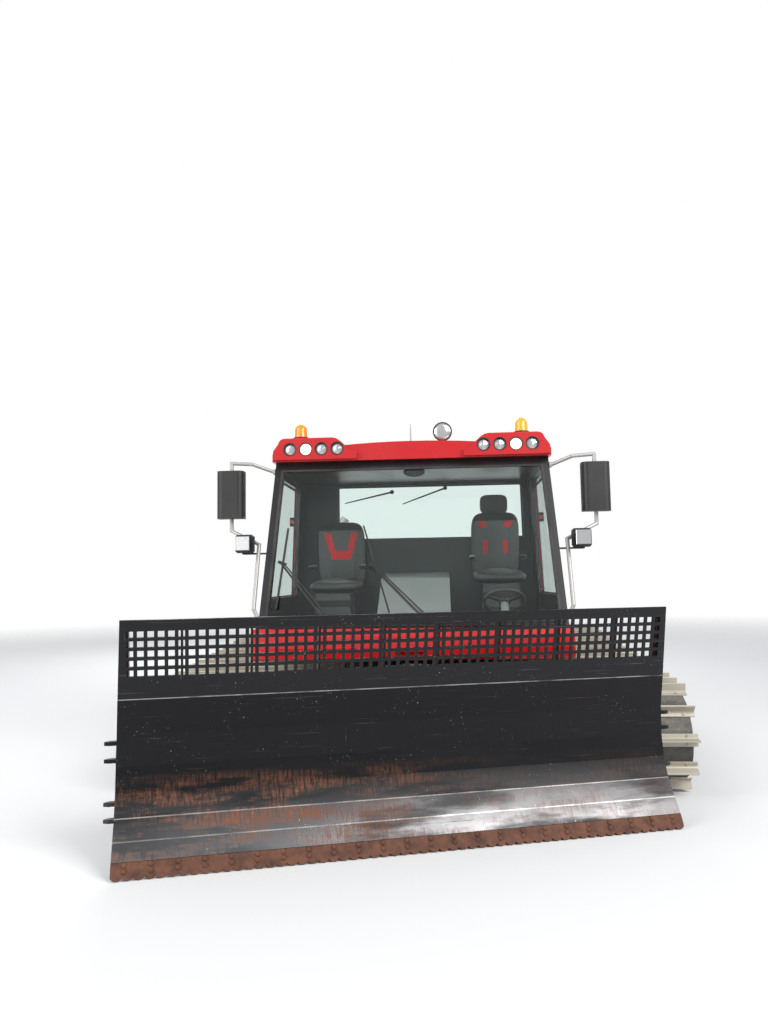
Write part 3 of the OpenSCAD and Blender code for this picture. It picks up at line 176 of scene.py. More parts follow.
def add_piece(name, skin, material, body, smooth=False):
    """A mesh in the shared frame that rides on its body and takes the given material.
    Points that meet are welded, which closes seams and poles, and closed skins are turned outwards."""
    points, faces = skin
    mesh = bpy.data.meshes.new(name)
    mesh.from_pydata(np.asarray(points, float).tolist(), [], faces)
    shape = bmesh.new()
    shape.from_mesh(mesh)
    bmesh.ops.remove_doubles(shape, verts=shape.verts, dist=1e-6)
    bmesh.ops.recalc_face_normals(shape, faces=shape.faces)
    shape.to_mesh(mesh)
    shape.free()
    mesh.materials.append(material)
    mesh.polygons.foreach_set("use_smooth", [smooth] * len(mesh.polygons))
    made = bpy.data.objects.new(name, mesh)
    bpy.context.collection.objects.link(made)
    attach(made, body)
    return made


def loft(rings, round_trip=False):
    """Skin over rings[i, j]: quads join ring i to ring i + 1, and both ends are capped, unless the last ring
    joins the first again."""
    rings = np.asarray(rings, float)
    n, m = rings.shape[:2]
    i, j = np.mgrid[:n if round_trip else n - 1, :m]
    near, far, after = i * m, (i + 1) % n * m, (j + 1) % m
    faces = np.stack([near + j, near + after, far + after, far + j], axis=-1).reshape(-1, 4).tolist()
    if not round_trip:
        faces += [list(range(m))[::-1], list(range((n - 1) * m, n * m))]
    return rings.reshape(-1, 3), faces


def together(skins):
    """Several skins as one list of points and one of faces."""
    points, faces = [], []
    for some, polygons in skins:
        faces += [[k + len(points) for k in polygon] for polygon in polygons]
        points += list(some)
    return points, faces


def unit(ways):
    """Directions of length one."""
    ways = np.asarray(ways, float)
    return ways / np.linalg.norm(ways, axis=-1, keepdims=True)


def revolved(centre, axis, start, profile, steps, round_trip=False):
    """A surface of revolution: each radius and height of the profile goes round the axis in equal steps.
    A round trip's profile is a closed outline, and makes a ring."""
    w, u = unit(axis), unit(start)
    turns = np.arange(steps) * 2 * math.pi / steps
    circle = np.outer(np.cos(turns), u) + np.outer(np.sin(turns), np.cross(w, u))
    radius, height = np.array(profile, float).T[:, :, None, None]
    return loft(np.asarray(centre, float) + radius * circle + height * w, round_trip)


def hex_head(centre, outward, across, height):
    """A chamfered hexagon bolt head, sunk 2 mm so that it leaves no gap."""
    profile = ((across, -0.002), (across, height * 0.75), (across * 0.82, height))
    return revolved(centre, outward, Vector(outward).orthogonal(), profile, 6)


wheel_z = 0.4063
wheel_ys = (-2.23, -1.57, -0.91, -0.25, 0.41)
# the belt's centre line goes round the idler, the last wheel and the raised sprocket: places and radii
track_circles = (((wheel_ys[0], wheel_z), 0.3203), ((wheel_ys[-1], wheel_z), 0.3203), ((1.10, 0.6163), 0.325))
track_x = 1.4
belt_offsets = (-0.53, 0.0, 0.53)
belt_stations = 150
bar_count = 42


def track_line(shares):
    """Points and outward angles at shares of the belt's length: an arc of 40 points round each circle, joined
    by straight tangent runs. Share zero lies where the belt leaves the first circle."""
    leaves = []
    for (a, ra), (b, rb) in zip(track_circles, track_circles[1:] + track_circles[:1]):
        d = np.subtract(b, a)
        leaves.append(math.atan2(d[1], d[0]) - math.acos((ra - rb) / np.hypot(*d)))
    arcs = []
    for (centre, radius), leave, reach in zip(track_circles, leaves, leaves[-1:] + leaves[:-1]):
        angles = reach + np.linspace(0, (leave - reach) % (2 * math.pi), 40)
        around = np.stack([np.cos(angles), np.sin(angles)], axis=1)
        arcs.append(np.column_stack([centre + radius * around, angles]))
    corners = np.concatenate([*arcs, arcs[0][:1] + (0, 0, 2 * math.pi)])
    corners[:, 2] = np.unwrap(corners[:, 2])
    along = np.concatenate([[0], np.cumsum(np.hypot(*np.diff(corners[:, :2], axis=0).T))])
    at = (along[39] + np.asarray(shares) * along[-1]) % along[-1]
    return np.stack([np.interp(at, along, corners[:, k]) for k in range(3)], axis=1)


bars_finish = dusted("weathered track aluminium", (0.46, 0.42, 0.34), 0.46, 1.0,
                     metallic=0.35, grain=0.5, grain_scale=60.0)
belt_rubber = dusted("track belt rubber", (0.02, 0.02, 0.02), 0.65, 0.9, grain=0.6, grain_scale=90.0)
bolt_zinc = dusted("zinc plated bolts", (0.42, 0.42, 0.40), 0.4, 0.8, metallic=0.8)
# half of the bar's section in millimetres, along the belt and outwards: foot, fillets and the ribbed grouser
bar_half = [(46, -3), (46, 6), (43, 8), (20, 11.5), (13, 16), (9, 26), (7, 66), (7, 76), (5, 80)]
bar_profile = np.array(bar_half + [(-a, b) for a, b in reversed(bar_half)]) / 1000
belt_half = [(138, -6), (140, -4), (140, 4), (138, 6)]
belt_profile = np.array(belt_half + [(-a, b) for a, b in reversed(belt_half)]) / 1000
bar_ends = ((0.7, 0.95), (0.703, 1.0), (2.097, 1.0), (2.1, 0.95))
for side, label in sides:
    belts, bars, bolts = [], [], []
    y, z, a = track_line(np.arange(belt_stations) / belt_stations).T[:, :, None]
    u, w = belt_profile.T
    for offset in belt_offsets:
        belt = np.broadcast_arrays(side * (track_x + offset) + u, y + w * np.cos(a), z + w * np.sin(a))
        belts.append(loft(np.stack(belt, axis=-1), True))
    for y, z, a in track_line((np.arange(bar_count) + 0.5) / bar_count):
        out = np.array([math.cos(a), math.sin(a)])
        fore = np.array([math.sin(a), -math.cos(a)])
        base = np.array([y, z]) + out * 0.006
        profile = base + bar_profile @ [fore, out]
        middle = profile.mean(axis=0)
        sections = [np.insert(middle + (profile - middle) * shrink, 0, side * x, axis=1)
                    for x, shrink in bar_ends]
        bars.append(loft(sections))
        for offset in belt_offsets:
            for spread in (-0.09, 0.09):
                for hand in (-0.031, 0.031):
                    spot = base + fore * hand + out * 0.0085
                    at = (side * (track_x + offset + spread), *spot)
                    bolts.append(hex_head(at, (0, *out), 0.0095, 0.008))
    belt = add_piece(f"track_belts_{label}", together(belts), belt_rubber, "chassis")
    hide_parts(f"track_{label}")
    add_piece(f"track_bars_{label}", together(bars), bars_finish, "chassis")
    add_piece(f"track_bolts_{label}", together(bolts), bolt_zinc, "chassis")

# Wheels
# Solid rubber tyres on pressed steel discs, with eight nuts in a ring and a domed cap over each stub axle.
# The disc is what lies within 222 mm of the nearest axle; the axles stand one wheel pitch apart.
wheel_black = (0.018, 0.018, 0.018)
wheel_pitch = wheel_ys[1] - wheel_ys[0]


def repainted(material, colour):
    """The paint under a material's dust, from a socket of its own tree."""
    film = next(n for n in material.node_tree.nodes if n.type == "GROUP")
    material.node_tree.links.new(colour, film.inputs["Paint"])


tyre_rubber = dusted("black tyres on grey discs", wheel_black, 0.7, 0.9, grain=0.5, grain_scale=70.0)
wheel_tree = tyre_rubber.node_tree
wheel_place = split(wheel_tree, place_of(wheel_tree))
# each cell, one pitch long, has an axle at its middle
fore = worked(wheel_tree, "ADD", wheel_place["Y"], wheel_pitch / 2 - wheel_ys[0])
fore = worked(wheel_tree, "FLOORED_MODULO", fore, wheel_pitch)
fore = worked(wheel_tree, "SUBTRACT", fore, wheel_pitch / 2)
rise = worked(wheel_tree, "SUBTRACT", wheel_place["Z"], wheel_z)
flat = put(wheel_tree, "ShaderNodeCombineXYZ", {"X": fore, "Y": rise}).outputs[0]
reach = put(wheel_tree, "ShaderNodeVectorMath", {0: flat}, operation="LENGTH").outputs["Value"]
disc = worked(wheel_tree, "LESS_THAN", reach, 0.222)
repainted(tyre_rubber, mixed(wheel_tree, disc, (*wheel_black, 1), (0.13, 0.13, 0.135, 1)))
finish_nodes(tyre_rubber, "road_wheels_left", "road_wheels_right", "idlers")
nut_x = 1.39
nut_ring = 0.1
cap_profile = ((0.052, 1.575), (0.050, 1.586), (0.040, 1.594), (0.022, 1.598), (0.006, 1.599))
for side, label in sides:
    nuts = []
    for y in wheel_ys:
        for a in np.arange(8) * math.pi / 4:
            at = (side * nut_x, y + nut_ring * math.cos(a), wheel_z + nut_ring * math.sin(a))
            nuts.append(hex_head(at, (side, 0, 0), 0.014, 0.012))
        nuts.append(revolved((0, y, wheel_z), (side, 0, 0), (0, 1, 0), cap_profile, 24))
    add_piece(f"wheel_nuts_{label}", together(nuts), bolt_zinc, "chassis")

# Cab shell, roof and nose
# Folded steel frame in black; doors, roof and nose are moulded panels in glossy red paint.
cab_red = (0.52, 0.005, 0.008)
red_gloss = dusted("glossy red paint", cab_red, 0.25, 0.10, coat=0.6)
black_gloss = dusted("black cab frame paint", (0.010, 0.010, 0.011), 0.32, 0.05, coat=0.15)
finish_nodes(black_gloss, "cab_frame")
finish_nodes(red_gloss, "roof", "front_panel", "engine_lid", "tiller_hood")
# The doors are red outside and bare black inside: the paint ends 12 mm under the skin, which leans in by
# 40 mm a metre and meets the ground's level at x = 1.32.
side_lean = 0.0403
paint_x = 1.308
door_paint = red_gloss.copy()
door_paint.name = "red door skin over black lining"
door_tree = door_paint.node_tree
door_place = split(door_tree, place_of(door_tree))
outwards = worked(door_tree, "ABSOLUTE", door_place["X"])
leaned = worked(door_tree, "MULTIPLY_ADD", door_place["Z"], side_lean, outwards)
skin = worked(door_tree, "GREATER_THAN", leaned, paint_x)
repainted(door_paint, mixed(door_tree, skin, (0.015, 0.015, 0.016, 1), (*cab_red, 1)))
finish_nodes(door_paint, "door_left", "door_right")

# Glass
# Clear safety glass with a faint green edge, in rubber seals that run round every pane.
glass = surfaced("clear safety glass", {"Base Color": (0.86, 0.93, 0.91, 1), "Roughness": 0.02,
                                        "Transmission Weight": 1.0, "IOR": 1.02, "Coat Weight": 0.6})[0]
finish_nodes(glass, "windscreen", "rear_window", "door_glass_left", "door_glass_right")
seal_rubber = dusted("glazing rubber", (0.012, 0.012, 0.012), 0.6, 0.3)
seal_width = 0.026
seal_depth = 0.014


def seal(name, corners, outward, body):
    """A bead along a closed outline: at each corner an ellipse as wide and deep as the seal, on the mitre."""
    corners, w = np.array(corners, float), unit(outward)
    onward = unit(np.roll(corners, -1, axis=0) - corners)
    back = np.roll(onward, 1, axis=0)
    across = unit(np.cross(unit(back + onward), w))
    widened = seal_width / 2 / np.maximum(0.5, np.sqrt(0.5 + 0.5 * np.sum(back * onward, axis=1)))
    turns = np.arange(10)[:, None] * math.pi / 5
    rings = (corners[:, None] + (across * widened[:, None])[:, None] * np.cos(turns)
             + w * seal_depth / 2 * np.sin(turns))
    return add_piece(name, loft(rings, True), seal_rubber, body)


# The screen leans back by a third; the side skins lean in. Both are placed from the sill, 1.25 m up.
sill_z = 1.25
screen_lean = 0.48 / 1.44


def screen_y(z):
    """The screen's place along Y at a height."""
    return -2.13 + screen_lean * (z - sill_z)


def side_x(z):
    """The left side skin's place along X at a height."""
    return 1.271 - side_lean * (z - sill_z)


screen_outline = ((-1.208, 1.28), (1.208, 1.28), (1.15, 2.612), (-1.15, 2.612))
seal("screen_seal", [(x, screen_y(z) - 0.001, z) for x, z in screen_outline], (0, -1, screen_lean), "chassis")
rear_outline = ((-0.82, 2.05), (1.11, 2.05), (1.10, 2.61), (-0.82, 2.61))
seal("rear_seal", [(x, -0.359, z) for x, z in rear_outline], (0, 1, 0), "chassis")
# a door's pane keeps 185 mm behind the screen
pane_gap = 0.185
pane_low = 1.48
pane_high = 2.55
pane_rear = -0.695
door_outline = [(screen_y(pane_low) + pane_gap, pane_low), (pane_rear, pane_low),
                (pane_rear, pane_high), (screen_y(pane_high) + pane_gap, pane_high)]
for side, label in sides:
    corners = [(side * side_x(z), y, z) for y, z in door_outline]
    seal(f"door_seal_{label}", corners, (side, 0, side_lean), f"door_{label}")

# Each door has a black pull handle, on two feet and bowed out 34 mm between them.
handle_black = dusted("moulded black handle", (0.015, 0.015, 0.015), 0.4, 0.3, grain=0.4)
handle_z = 1.36
handle_reach = 0.034
for side, label in sides:
    t = np.linspace(0, 1, 25)[:, None]
    turns = np.arange(10) * math.pi / 5
    bow = handle_reach * np.sqrt(np.minimum(1.0, 4 * np.abs(np.sin(math.pi * t))))
    x = side * (side_x(handle_z) - 0.004 + bow + 0.009 * np.cos(turns))
    rings = np.stack(np.broadcast_arrays(x, -0.84 - 0.17 * t, handle_z + 0.011 * np.sin(turns)), axis=-1)
    add_piece(f"door_handle_{label}", loft(rings), handle_black, f"door_{label}", True)

# Cab interior
# Moulded grey dash, tunnel and console; cloth seats on suspension bases.
grey_plastic = dusted("grained grey plastic", (0.21, 0.21, 0.21), 0.6, 0.15, grain=0.12)
grey_plastic.node_tree.nodes["Principled BSDF"].inputs["Specular IOR Level"].default_value = 0.4
finish_nodes(grey_plastic, "console")
black_plastic = dusted("grained black plastic", (0.016, 0.016, 0.016), 0.48, 0.12, grain=0.4)
finish_nodes(black_plastic, "steering_wheel", "cowl", "wipers", "side_lamps", "mirror_heads",
             "finishing_comb")
seat_cloth = dusted("dark seat cloth", (0.075, 0.077, 0.077), 0.9, 0.2, grain=0.8, grain_scale=700.0)
seat_vinyl = dusted("black seat vinyl", (0.02, 0.02, 0.021), 0.45, 0.2, grain=0.5, grain_scale=250.0)


def powered(values, power):
    """Sine or cosine to the power 2 / p, with its sign kept."""
    return np.copysign(np.abs(values) ** (2 / power), values)


def pillow(name, centre, half, tilt, square, material, hollow=0.0):
    """A crowned pad: the superellipsoid |x/a|^p + |y/b|^p = 1 in plan, with |z/c|^2.4 over it, its upper face
    dished by hollow along the middle, leaned about X by tilt degrees."""
    lat = np.linspace(-math.pi / 2, math.pi / 2, 29)[:, None]
    lon = np.arange(36) * math.pi / 18
    across, along, thick = half
    flat = np.abs(np.cos(lat)) ** (2 / 2.4)
    x = across * flat * powered(np.cos(lon), square)
    y = along * flat * powered(np.sin(lon), square)
    z = thick * powered(np.sin(lat), 2.4) * np.ones_like(lon)
    z = z - hollow * np.maximum(0.0, 1 - 1.6 * (x / across) ** 2) * (z > 0)
    lean = np.array(Matrix.Rotation(math.radians(tilt), 3, "X"))
    skin = loft(np.stack([x, y, z], axis=-1) @ lean.T + centre)
    made = add_piece(name, skin, material, "chassis", True)
    return made


def seat_pattern(name, x, base, bands):
    """Grey cloth with a black head and red bands, at height v over the base: a band from low to high is red
    where abs(abs(x) - mid - slope * (v - low)) < half."""
    made = seat_cloth.copy()
    made.name = name
    tree = made.node_tree
    place = split(tree, place_of(tree))
    u = worked(tree, "ABSOLUTE", worked(tree, "SUBTRACT", place["X"], x))
    v = worked(tree, "SUBTRACT", place["Z"], base)
    red = 0.0
    for low, high, mid, slope, half in bands:
        line = worked(tree, "MULTIPLY_ADD", v, slope, mid - slope * low)
        beside = worked(tree, "LESS_THAN", worked(tree, "ABSOLUTE", worked(tree, "SUBTRACT", u, line)), half)
        above = worked(tree, "GREATER_THAN", v, low)
        within = worked(tree, "MULTIPLY", above, worked(tree, "LESS_THAN", v, high))
        red = worked(tree, "MAXIMUM", red, worked(tree, "MULTIPLY", beside, within))
    head = worked(tree, "GREATER_THAN", v, 0.625)
    cloth = mixed(tree, head, (0.085, 0.088, 0.088, 1), (0.012, 0.012, 0.013, 1))
    repainted(made, mixed(tree, red, cloth, (0.60, 0.016, 0.02, 1)))
    return made


def bevelled(middle, across, up, steps):
    """A block of stacked rectangles: each step's half width, half height and depth lie along across, up and
    across x up."""
    across, up = np.array(across, float), np.array(up, float)
    corners = np.array([(-1, -1), (1, -1), (1, 1), (-1, 1)])
    width, height, depth = np.array(steps, float).T[:, :, None, None]
    plan = corners[:, :1] * width * across + corners[:, 1:] * height * up
    return loft(np.asarray(middle, float) + plan + depth * np.cross(across, up))


# Each seat is a folded bellows with a cushion, a back and their inserts, two armrests and, for the driver, a
# headrest.
driver_bands = ((0.56, 0.62, 0.11, 0.6, 0.035), (0.30, 0.43, 0.10, 0.0, 0.020))
passenger_bands = ((0.40, 0.60, 0.088, 0.25, 0.032), (0.33, 0.42, 0.0, 0.0, 0.105))
seats = (("driver", 0.80, 1.58, driver_bands), ("passenger", -0.76, 1.51, passenger_bands))
for label, x, base, bands in seats:
    back_cloth = seat_pattern(f"{label} seat cloth", x, base, bands)
    folds = [(0.17 - fold, 0.18 - fold, z) for fold, z in
             zip([0.012, 0.0] * 4 + [0.012], np.linspace(1.011, base - 0.004, 9))]
    bellows = bevelled((x, -1.12, 0), (1, 0, 0), (0, 1, 0), folds)
    shell = add_piece(f"{label}_seat_base", bellows, seat_vinyl, "chassis")
    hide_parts(f"seat_{label}")
    pillow(f"{label}_cushion", (x, -0.955, base + 0.068), (0.25, 0.235, 0.072), 4, 5, seat_vinyl, 0.012)
    pillow(f"{label}_cushion_insert", (x, -0.955, base + 0.085), (0.155, 0.20, 0.064), 4, 4, seat_cloth,
           0.008)
    pillow(f"{label}_back", (x, -0.575, base + 0.385), (0.24, 0.33, 0.056), 102, 5, back_cloth, 0.010)
    pillow(f"{label}_back_insert", (x, -0.588, base + 0.38), (0.145, 0.29, 0.050), 102, 4, back_cloth, 0.006)
    if label == "driver":
        pillow("driver_headrest", (x, -0.515, base + 0.80), (0.14, 0.10, 0.045), 96, 4, seat_cloth)
    for hand, letter in ((-1, "a"), (1, "b")):
        at = (x + hand * 0.245, -0.85, base + 0.25)
        pillow(f"{label}_armrest_{letter}", at, (0.03, 0.195, 0.026), 0, 4, seat_vinyl)

# Inside mirror under the head of the frame, an oval on a stalk, and the two parked wipers of the rear pane
oval_z = 2.585
oval, faces = revolved((0.03, 0, oval_z), (0, 1, 0), (1, 0, 0),
                       ((0.085, -1.606), (0.098, -1.612), (0.098, -1.628), (0.07, -1.645)), 24)
oval[:, 2] = oval_z + 0.45 * (oval[:, 2] - oval_z)
stalk = revolved((0.03, -1.612, 0), (0, 0, 1), (1, 0, 0), ((0.008, 2.60), (0.008, 2.66)), 10)
add_piece("inside_mirror", together([(oval, faces), stalk]), black_plastic, "chassis", True)
rear_arms = []
for tip, pivot in (((-0.75, 2.44), (-0.25, 2.55)), ((-0.14, 2.42), (0.31, 2.58))):
    (x, z), length = unit(np.subtract(pivot, tip)), math.dist(pivot, tip)
    taper = ((0.005, 0.006, 0), (0.009, 0.006, -length))
    rear_arms.append(bevelled((tip[0], -0.3545, tip[1]), (-z, 0, x), (0, 1, 0), taper))
    boss = ((0.022, -0.3605), (0.018, -0.343))
    rear_arms.append(revolved((pivot[0], 0, pivot[1]), (0, 1, 0), (1, 0, 0), boss, 16))
add_piece("rear_wipers", together(rear_arms), black_plastic, "chassis")

# Mirrors' tubes and lamps
# Painted bent tubes, amber beacons on black feet, red tail lamps, and lamps with ribbed clear lenses.
silver_paint = dusted("silver grey tube paint", (0.46, 0.45, 0.43), 0.38, 0.25, metallic=0.3)
finish_nodes(silver_paint, "mirror_arms", "exhaust")
search_shell = dusted("search lamp shell", (0.24, 0.24, 0.25), 0.22, 0.15, metallic=0.9)
finish_nodes(search_shell, "search_lamp")
tail_red = dusted("red lens plastic", (0.55, 0.01, 0.01), 0.2, 0.1, coat=0.5)
finish_nodes(tail_red, "tail_lamps")
# the beacon on the left side is lit
amber = dusted("amber lens plastic", (0.95, 0.30, 0.01), 0.15, 0.05, coat=0.5)
amber_tree = amber.node_tree
amber_surface = amber_tree.nodes["Principled BSDF"]
on_left = worked(amber_tree, "GREATER_THAN", split(amber_tree, place_of(amber_tree))["X"], 0.0)
glow = mixed(amber_tree, on_left, (0, 0, 0, 1), (1.0, 0.36, 0.01, 1))
amber_tree.links.new(glow, amber_surface.inputs["Emission Color"])
amber_surface.inputs["Emission Strength"].default_value = 0.45
finish_nodes(amber, "beacons")
beacon_foot = dusted("black beacon foot", (0.015, 0.015, 0.015), 0.5, 0.4)
for side, label in sides:
    foot = revolved((side * 0.985, -1.64, 2.896), (0, 0, 1), (1, 0, 0),
                    ((0.0735, 0.0), (0.0735, 0.016), (0.068, 0.022), (0.061, 0.0245)), 40)
    add_piece(f"beacon_foot_{label}", foot, beacon_foot, "chassis")

# Lamps on the roof: a black bezel round each, and two of the eight are lit. A lens's ribs are a sine of x.
lens, lens_tree, lens_surface = surfaced(
    "ribbed lamp lens", {"Metallic": 0.7, "Roughness": 0.12, "Coat Weight": 1.0})
rib_angle = worked(lens_tree, "MULTIPLY", split(lens_tree, place_of(lens_tree))["X"], 760.0)
ribs = worked(lens_tree, "SINE", rib_angle)
# the lens's colour is lighter and darker in step with its ribs: painted light and shade
lens_tree.links.new(ranged(lens_tree, ribs, -1.0, 1.0, 0.42, 0.82), lens_surface.inputs["Base Color"])
relieved(lens_tree, lens_surface, ribs, 0.25, 0.001)
finish_nodes(lens, "roof_lamps")
lit = lens.copy()
lit.name = "lit lamp lens"
lit.node_tree.nodes["Principled BSDF"].inputs["Emission Color"].default_value = (1.0, 0.93, 0.78, 1)
lit.node_tree.nodes["Principled BSDF"].inputs["Emission Strength"].default_value = 2.5
roof_lamp_xs = (0.645, 0.786, 0.927, 1.068)
roof_lamp_z = 2.795
lit_x = roof_lamp_xs[2]
bezel_profile = ((0.0595, -1.708), (0.0595, -1.7605), (0.056, -1.763), (0.0515, -1.7605), (0.0515, -1.735))
lit_profile = ((0.050, -1.736), (0.046, -1.7412), (0.030, -1.7470), (0.012, -1.7502))
bezels = []
for side, label in sides:
    for x in roof_lamp_xs:
        bezels.append(revolved((side * x, 0, roof_lamp_z), (0, 1, 0), (1, 0, 0), bezel_profile, 48, True))
    dome = revolved((side * lit_x, 0, roof_lamp_z), (0, 1, 0), (1, 0, 0), lit_profile, 40)
    add_piece(f"lit_lamp_{label}", dome, lit, "chassis", True)
add_piece("lamp_bezels", together(bezels), black_plastic, "chassis", True)
search_at = (0.29, 0, 2.96)
search_dome = ((0.079, -1.5300), (0.075, -1.5375), (0.05, -1.5420), (0.02, -1.5445))
search_rim = ((0.0865, -1.512), (0.0875, -1.532), (0.084, -1.541), (0.078, -1.536), (0.078, -1.530))
search_lens = revolved(search_at, (0, 1, 0), (1, 0, 0), search_dome, 48)
add_piece("search_lamp_lens", search_lens, lens, "chassis", True)
search_bezel = revolved(search_at, (0, 1, 0), (1, 0, 0), search_rim, 48, True)
add_piece("search_lamp_bezel", search_bezel, black_plastic, "chassis", True)
# Square work lamps have the same ribbed lens in each pocket. Mirror glass is a pane in the pocket of each
# head, on the side that the driver sees.
work_lens = ((0.0605, 0.0605, 2.0285), (0.0605, 0.0605, 2.034), (0.056, 0.056, 2.038))
mirror_pane = ((0.102, 0.194, 1.7575), (0.102, 0.194, 1.7525), (0.100, 0.192, 1.751))
mirror_glass = surfaced(
    "mirror glass", {"Base Color": (0.85, 0.88, 0.88, 1), "Metallic": 1.0, "Roughness": 0.03})[0]
for side, label in sides:
    lamp = bevelled((side * 1.425, 0, 1.954), (1, 0, 0), (0, 0, 1), work_lens)
    add_piece(f"work_lamp_lens_{label}", lamp, lens, "chassis")
for side, label in sides:
    pane = bevelled((side * 1.585, 0, 2.394), (1, 0, 0), (0, 0, 1), mirror_pane)
    add_piece(f"mirror_glass_{label}", pane, mirror_glass, "chassis")

# Cylinders and rotor
# Hydraulic cylinders: painted barrels and hard-chromed rods. The tiller's rotor is dark steel.
bright = dusted("bright plating", (0.8, 0.8, 0.8), 0.12, 0.05, metallic=1.0)
finish_nodes(bright, "lift_rod", "swing_rod_left", "swing_rod_right", "tiller_rod")
finish_nodes(black_paint, "lift_barrel", "swing_barrels_left", "swing_barrels_right", "tiller_barrel")
finish_nodes(grey_machine, "tiller_rotor")

# Blade
# Rolled and folded plate in black paint. Gravel has worn its lower facets to bright steel,
# with rust in the scratches and along the folds, and the wear edge is bare and brown.
blade_turn = math.radians(16.6)
swing_axis = np.array((0.0, -3.43, 0.0))
crests = (0.18, 0.29, 0.96)


def make_blade_wear_and_highlights():
    """Wear in the board's own directions: bright steel where height is low and streaky noise is high, rust
    where patchy noise is, pale flecks of knocked-off paint in loose groups, and a painted highlight along the
    folds' crests."""
    tree, given, out = effect(
        "Blade wear and crest highlights",
        {"Paint": (0.02, 0.02, 0.022, 1), "Steel": (0.42, 0.42, 0.43, 1), "Rust": (0.25, 0.092, 0.044, 1),
         "Chips and crest highlight": (0.36, 0.35, 0.34, 1), "Wear low": 0.30, "Wear high": 0.62, "Scratches": 0.5},
        {"Color": "NodeSocketColor", "Roughness": "NodeSocketFloat", "Metallic": "NodeSocketFloat",
         "Height": "NodeSocketFloat"},
    )
    # along the blade, through it, and up: the pattern turns with the parked angle
    c, s = math.cos(blade_turn), math.sin(blade_turn)
    shift = (-(swing_axis[0] * c + swing_axis[1] * s), -(swing_axis[1] * c - swing_axis[0] * s), 0)
    own = put(tree, "ShaderNodeMapping",
              {"Vector": place_of(tree), "Rotation": (0, 0, -blade_turn), "Location": shift}).outputs[0]
    parts = split(tree, own)
    along, height = parts["X"], parts["Z"]

    def streaks(scale, seed, low, high, detail=6.0, rough=0.6):
        """Noise stretched along the blade, through it and up, sharpened between low and high."""
        flat = put(tree, "ShaderNodeMapping", {"Vector": own, "Scale": scale, "Location": (seed, seed, seed)})
        return ranged(tree, noise(tree, flat.outputs[0], 1.0, detail, rough), low, high)

    def both(first, second):
        """Where the two masks meet: their product."""
        return worked(tree, "MULTIPLY", first, second, clamp=True)

    def either(first, second):
        """Where either mask lies: the greater of the two."""
        return worked(tree, "MAXIMUM", first, second, clamp=True)

    low_down = ranged(tree, height, given["Wear high"], given["Wear low"])
    worn = both(low_down, streaks((1.1, 1.0, 7.0), 3.0, 0.34, 0.50))
    # long scratches along the blade, and fewer that run down it
    long_marks = streaks((2.0, 1.0, 160.0), 7.0, 0.66, 0.72, 3.0)
    down_marks = streaks((120.0, 1.0, 5.0), 11.0, 0.70, 0.76, 3.0)
    marks = both(either(long_marks, down_marks), given["Scratches"])
    bare = either(worn, marks)
    # flecks where gravel has knocked the paint off, in loose groups, and a painted highlight along the crests
    # of three folds
    flecks = streaks((95.0, 1.0, 80.0), 53.0, 0.70, 0.73, 2.0)
    chips_and_crest_highlight = both(flecks, streaks((4.0, 1.0, 5.0), 59.0, 0.48, 0.60, 3.0))
    # pale lines along the folds' crests: a painted highlight where each fold catches the light
    for fold in crests:
        crest = worked(tree, "COMPARE", height, fold, 0.003)
        highlight_breakup = ranged(tree, streaks((5.0, 1.0, 1.0), 61.0 + fold, 0.30, 0.55), 0.0, 1.0, 0.15, 0.8)
        chips_and_crest_highlight = either(chips_and_crest_highlight, both(crest, highlight_breakup))
    # rust in patches that run down, in a band over the foot, and more of it towards the blade's right end
    patches = both(streaks((1.6, 1.0, 11.0), 19.0, 0.44, 0.58, 9.0, 0.7),
                   streaks((70.0, 1.0, 12.0), 23.0, 0.40, 0.60, 8.0, 0.7))
    band = both(ranged(tree, height, 0.52, 0.36), ranged(tree, height, 0.05, 0.2, 0.5, 1.0))
    band = both(band, ranged(tree, along, 0.5, -0.9, 0.15, 1.0))
    rusty = either(both(patches, band), both(marks, streaks((5.0, 1.0, 9.0), 31.0, 0.48, 0.60)))
    colour = mixed(tree, bare, given["Paint"], given["Steel"])
    colour = mixed(tree, rusty, colour, given["Rust"])
    tree.links.new(mixed(tree, chips_and_crest_highlight, colour, given["Chips and crest highlight"]), out["Color"])
    polish = ranged(tree, streaks((1.5, 1.0, 3.0), 41.0, 0.35, 0.75, 8.0, 0.65), 0.0, 1.0, 0.24, 0.5)
    tree.links.new(ranged(tree, rusty, 0.0, 1.0, polish, 0.9), out["Roughness"])
    tree.links.new(both(bare, worked(tree, "SUBTRACT", 1.0, rusty, clamp=True)), out["Metallic"])
    tree.links.new(worked(tree, "SUBTRACT", rusty, bare), out["Height"])
    return tree


blade_wear_and_highlights = make_blade_wear_and_highlights()


def worn_steel(name, paint, wear_low, wear_high, scratches, steel=(0.42, 0.42, 0.43)):
    """Painted plate with the blade's wear and a painted highlight along its folds' crests."""
    made, tree, surface = surfaced(name, {"Specular IOR Level": 0.2})
    wear = put(tree, "ShaderNodeGroup", node_tree=blade_wear_and_highlights)
    for label, value in (("Paint", (*paint, 1)), ("Steel", (*steel, 1)), ("Wear low", wear_low),
                         ("Wear high", wear_high), ("Scratches", scratches)):
        wear.inputs[label].default_value = value
    for label, socket in (("Color", "Base Color"), ("Roughness", "Roughness"), ("Metallic", "Metallic")):
        tree.links.new(wear.outputs[label], surface.inputs[socket])
    relieved(tree, surface, wear.outputs["Height"], 0.35, 0.002)
    return made


board_finish = worn_steel("worn black blade paint with painted crest highlights", (0.006, 0.006, 0.007), 0.12, 0.42, 0.35,
                          steel=(0.13, 0.128, 0.13))
finish_nodes(board_finish, "blade_board")
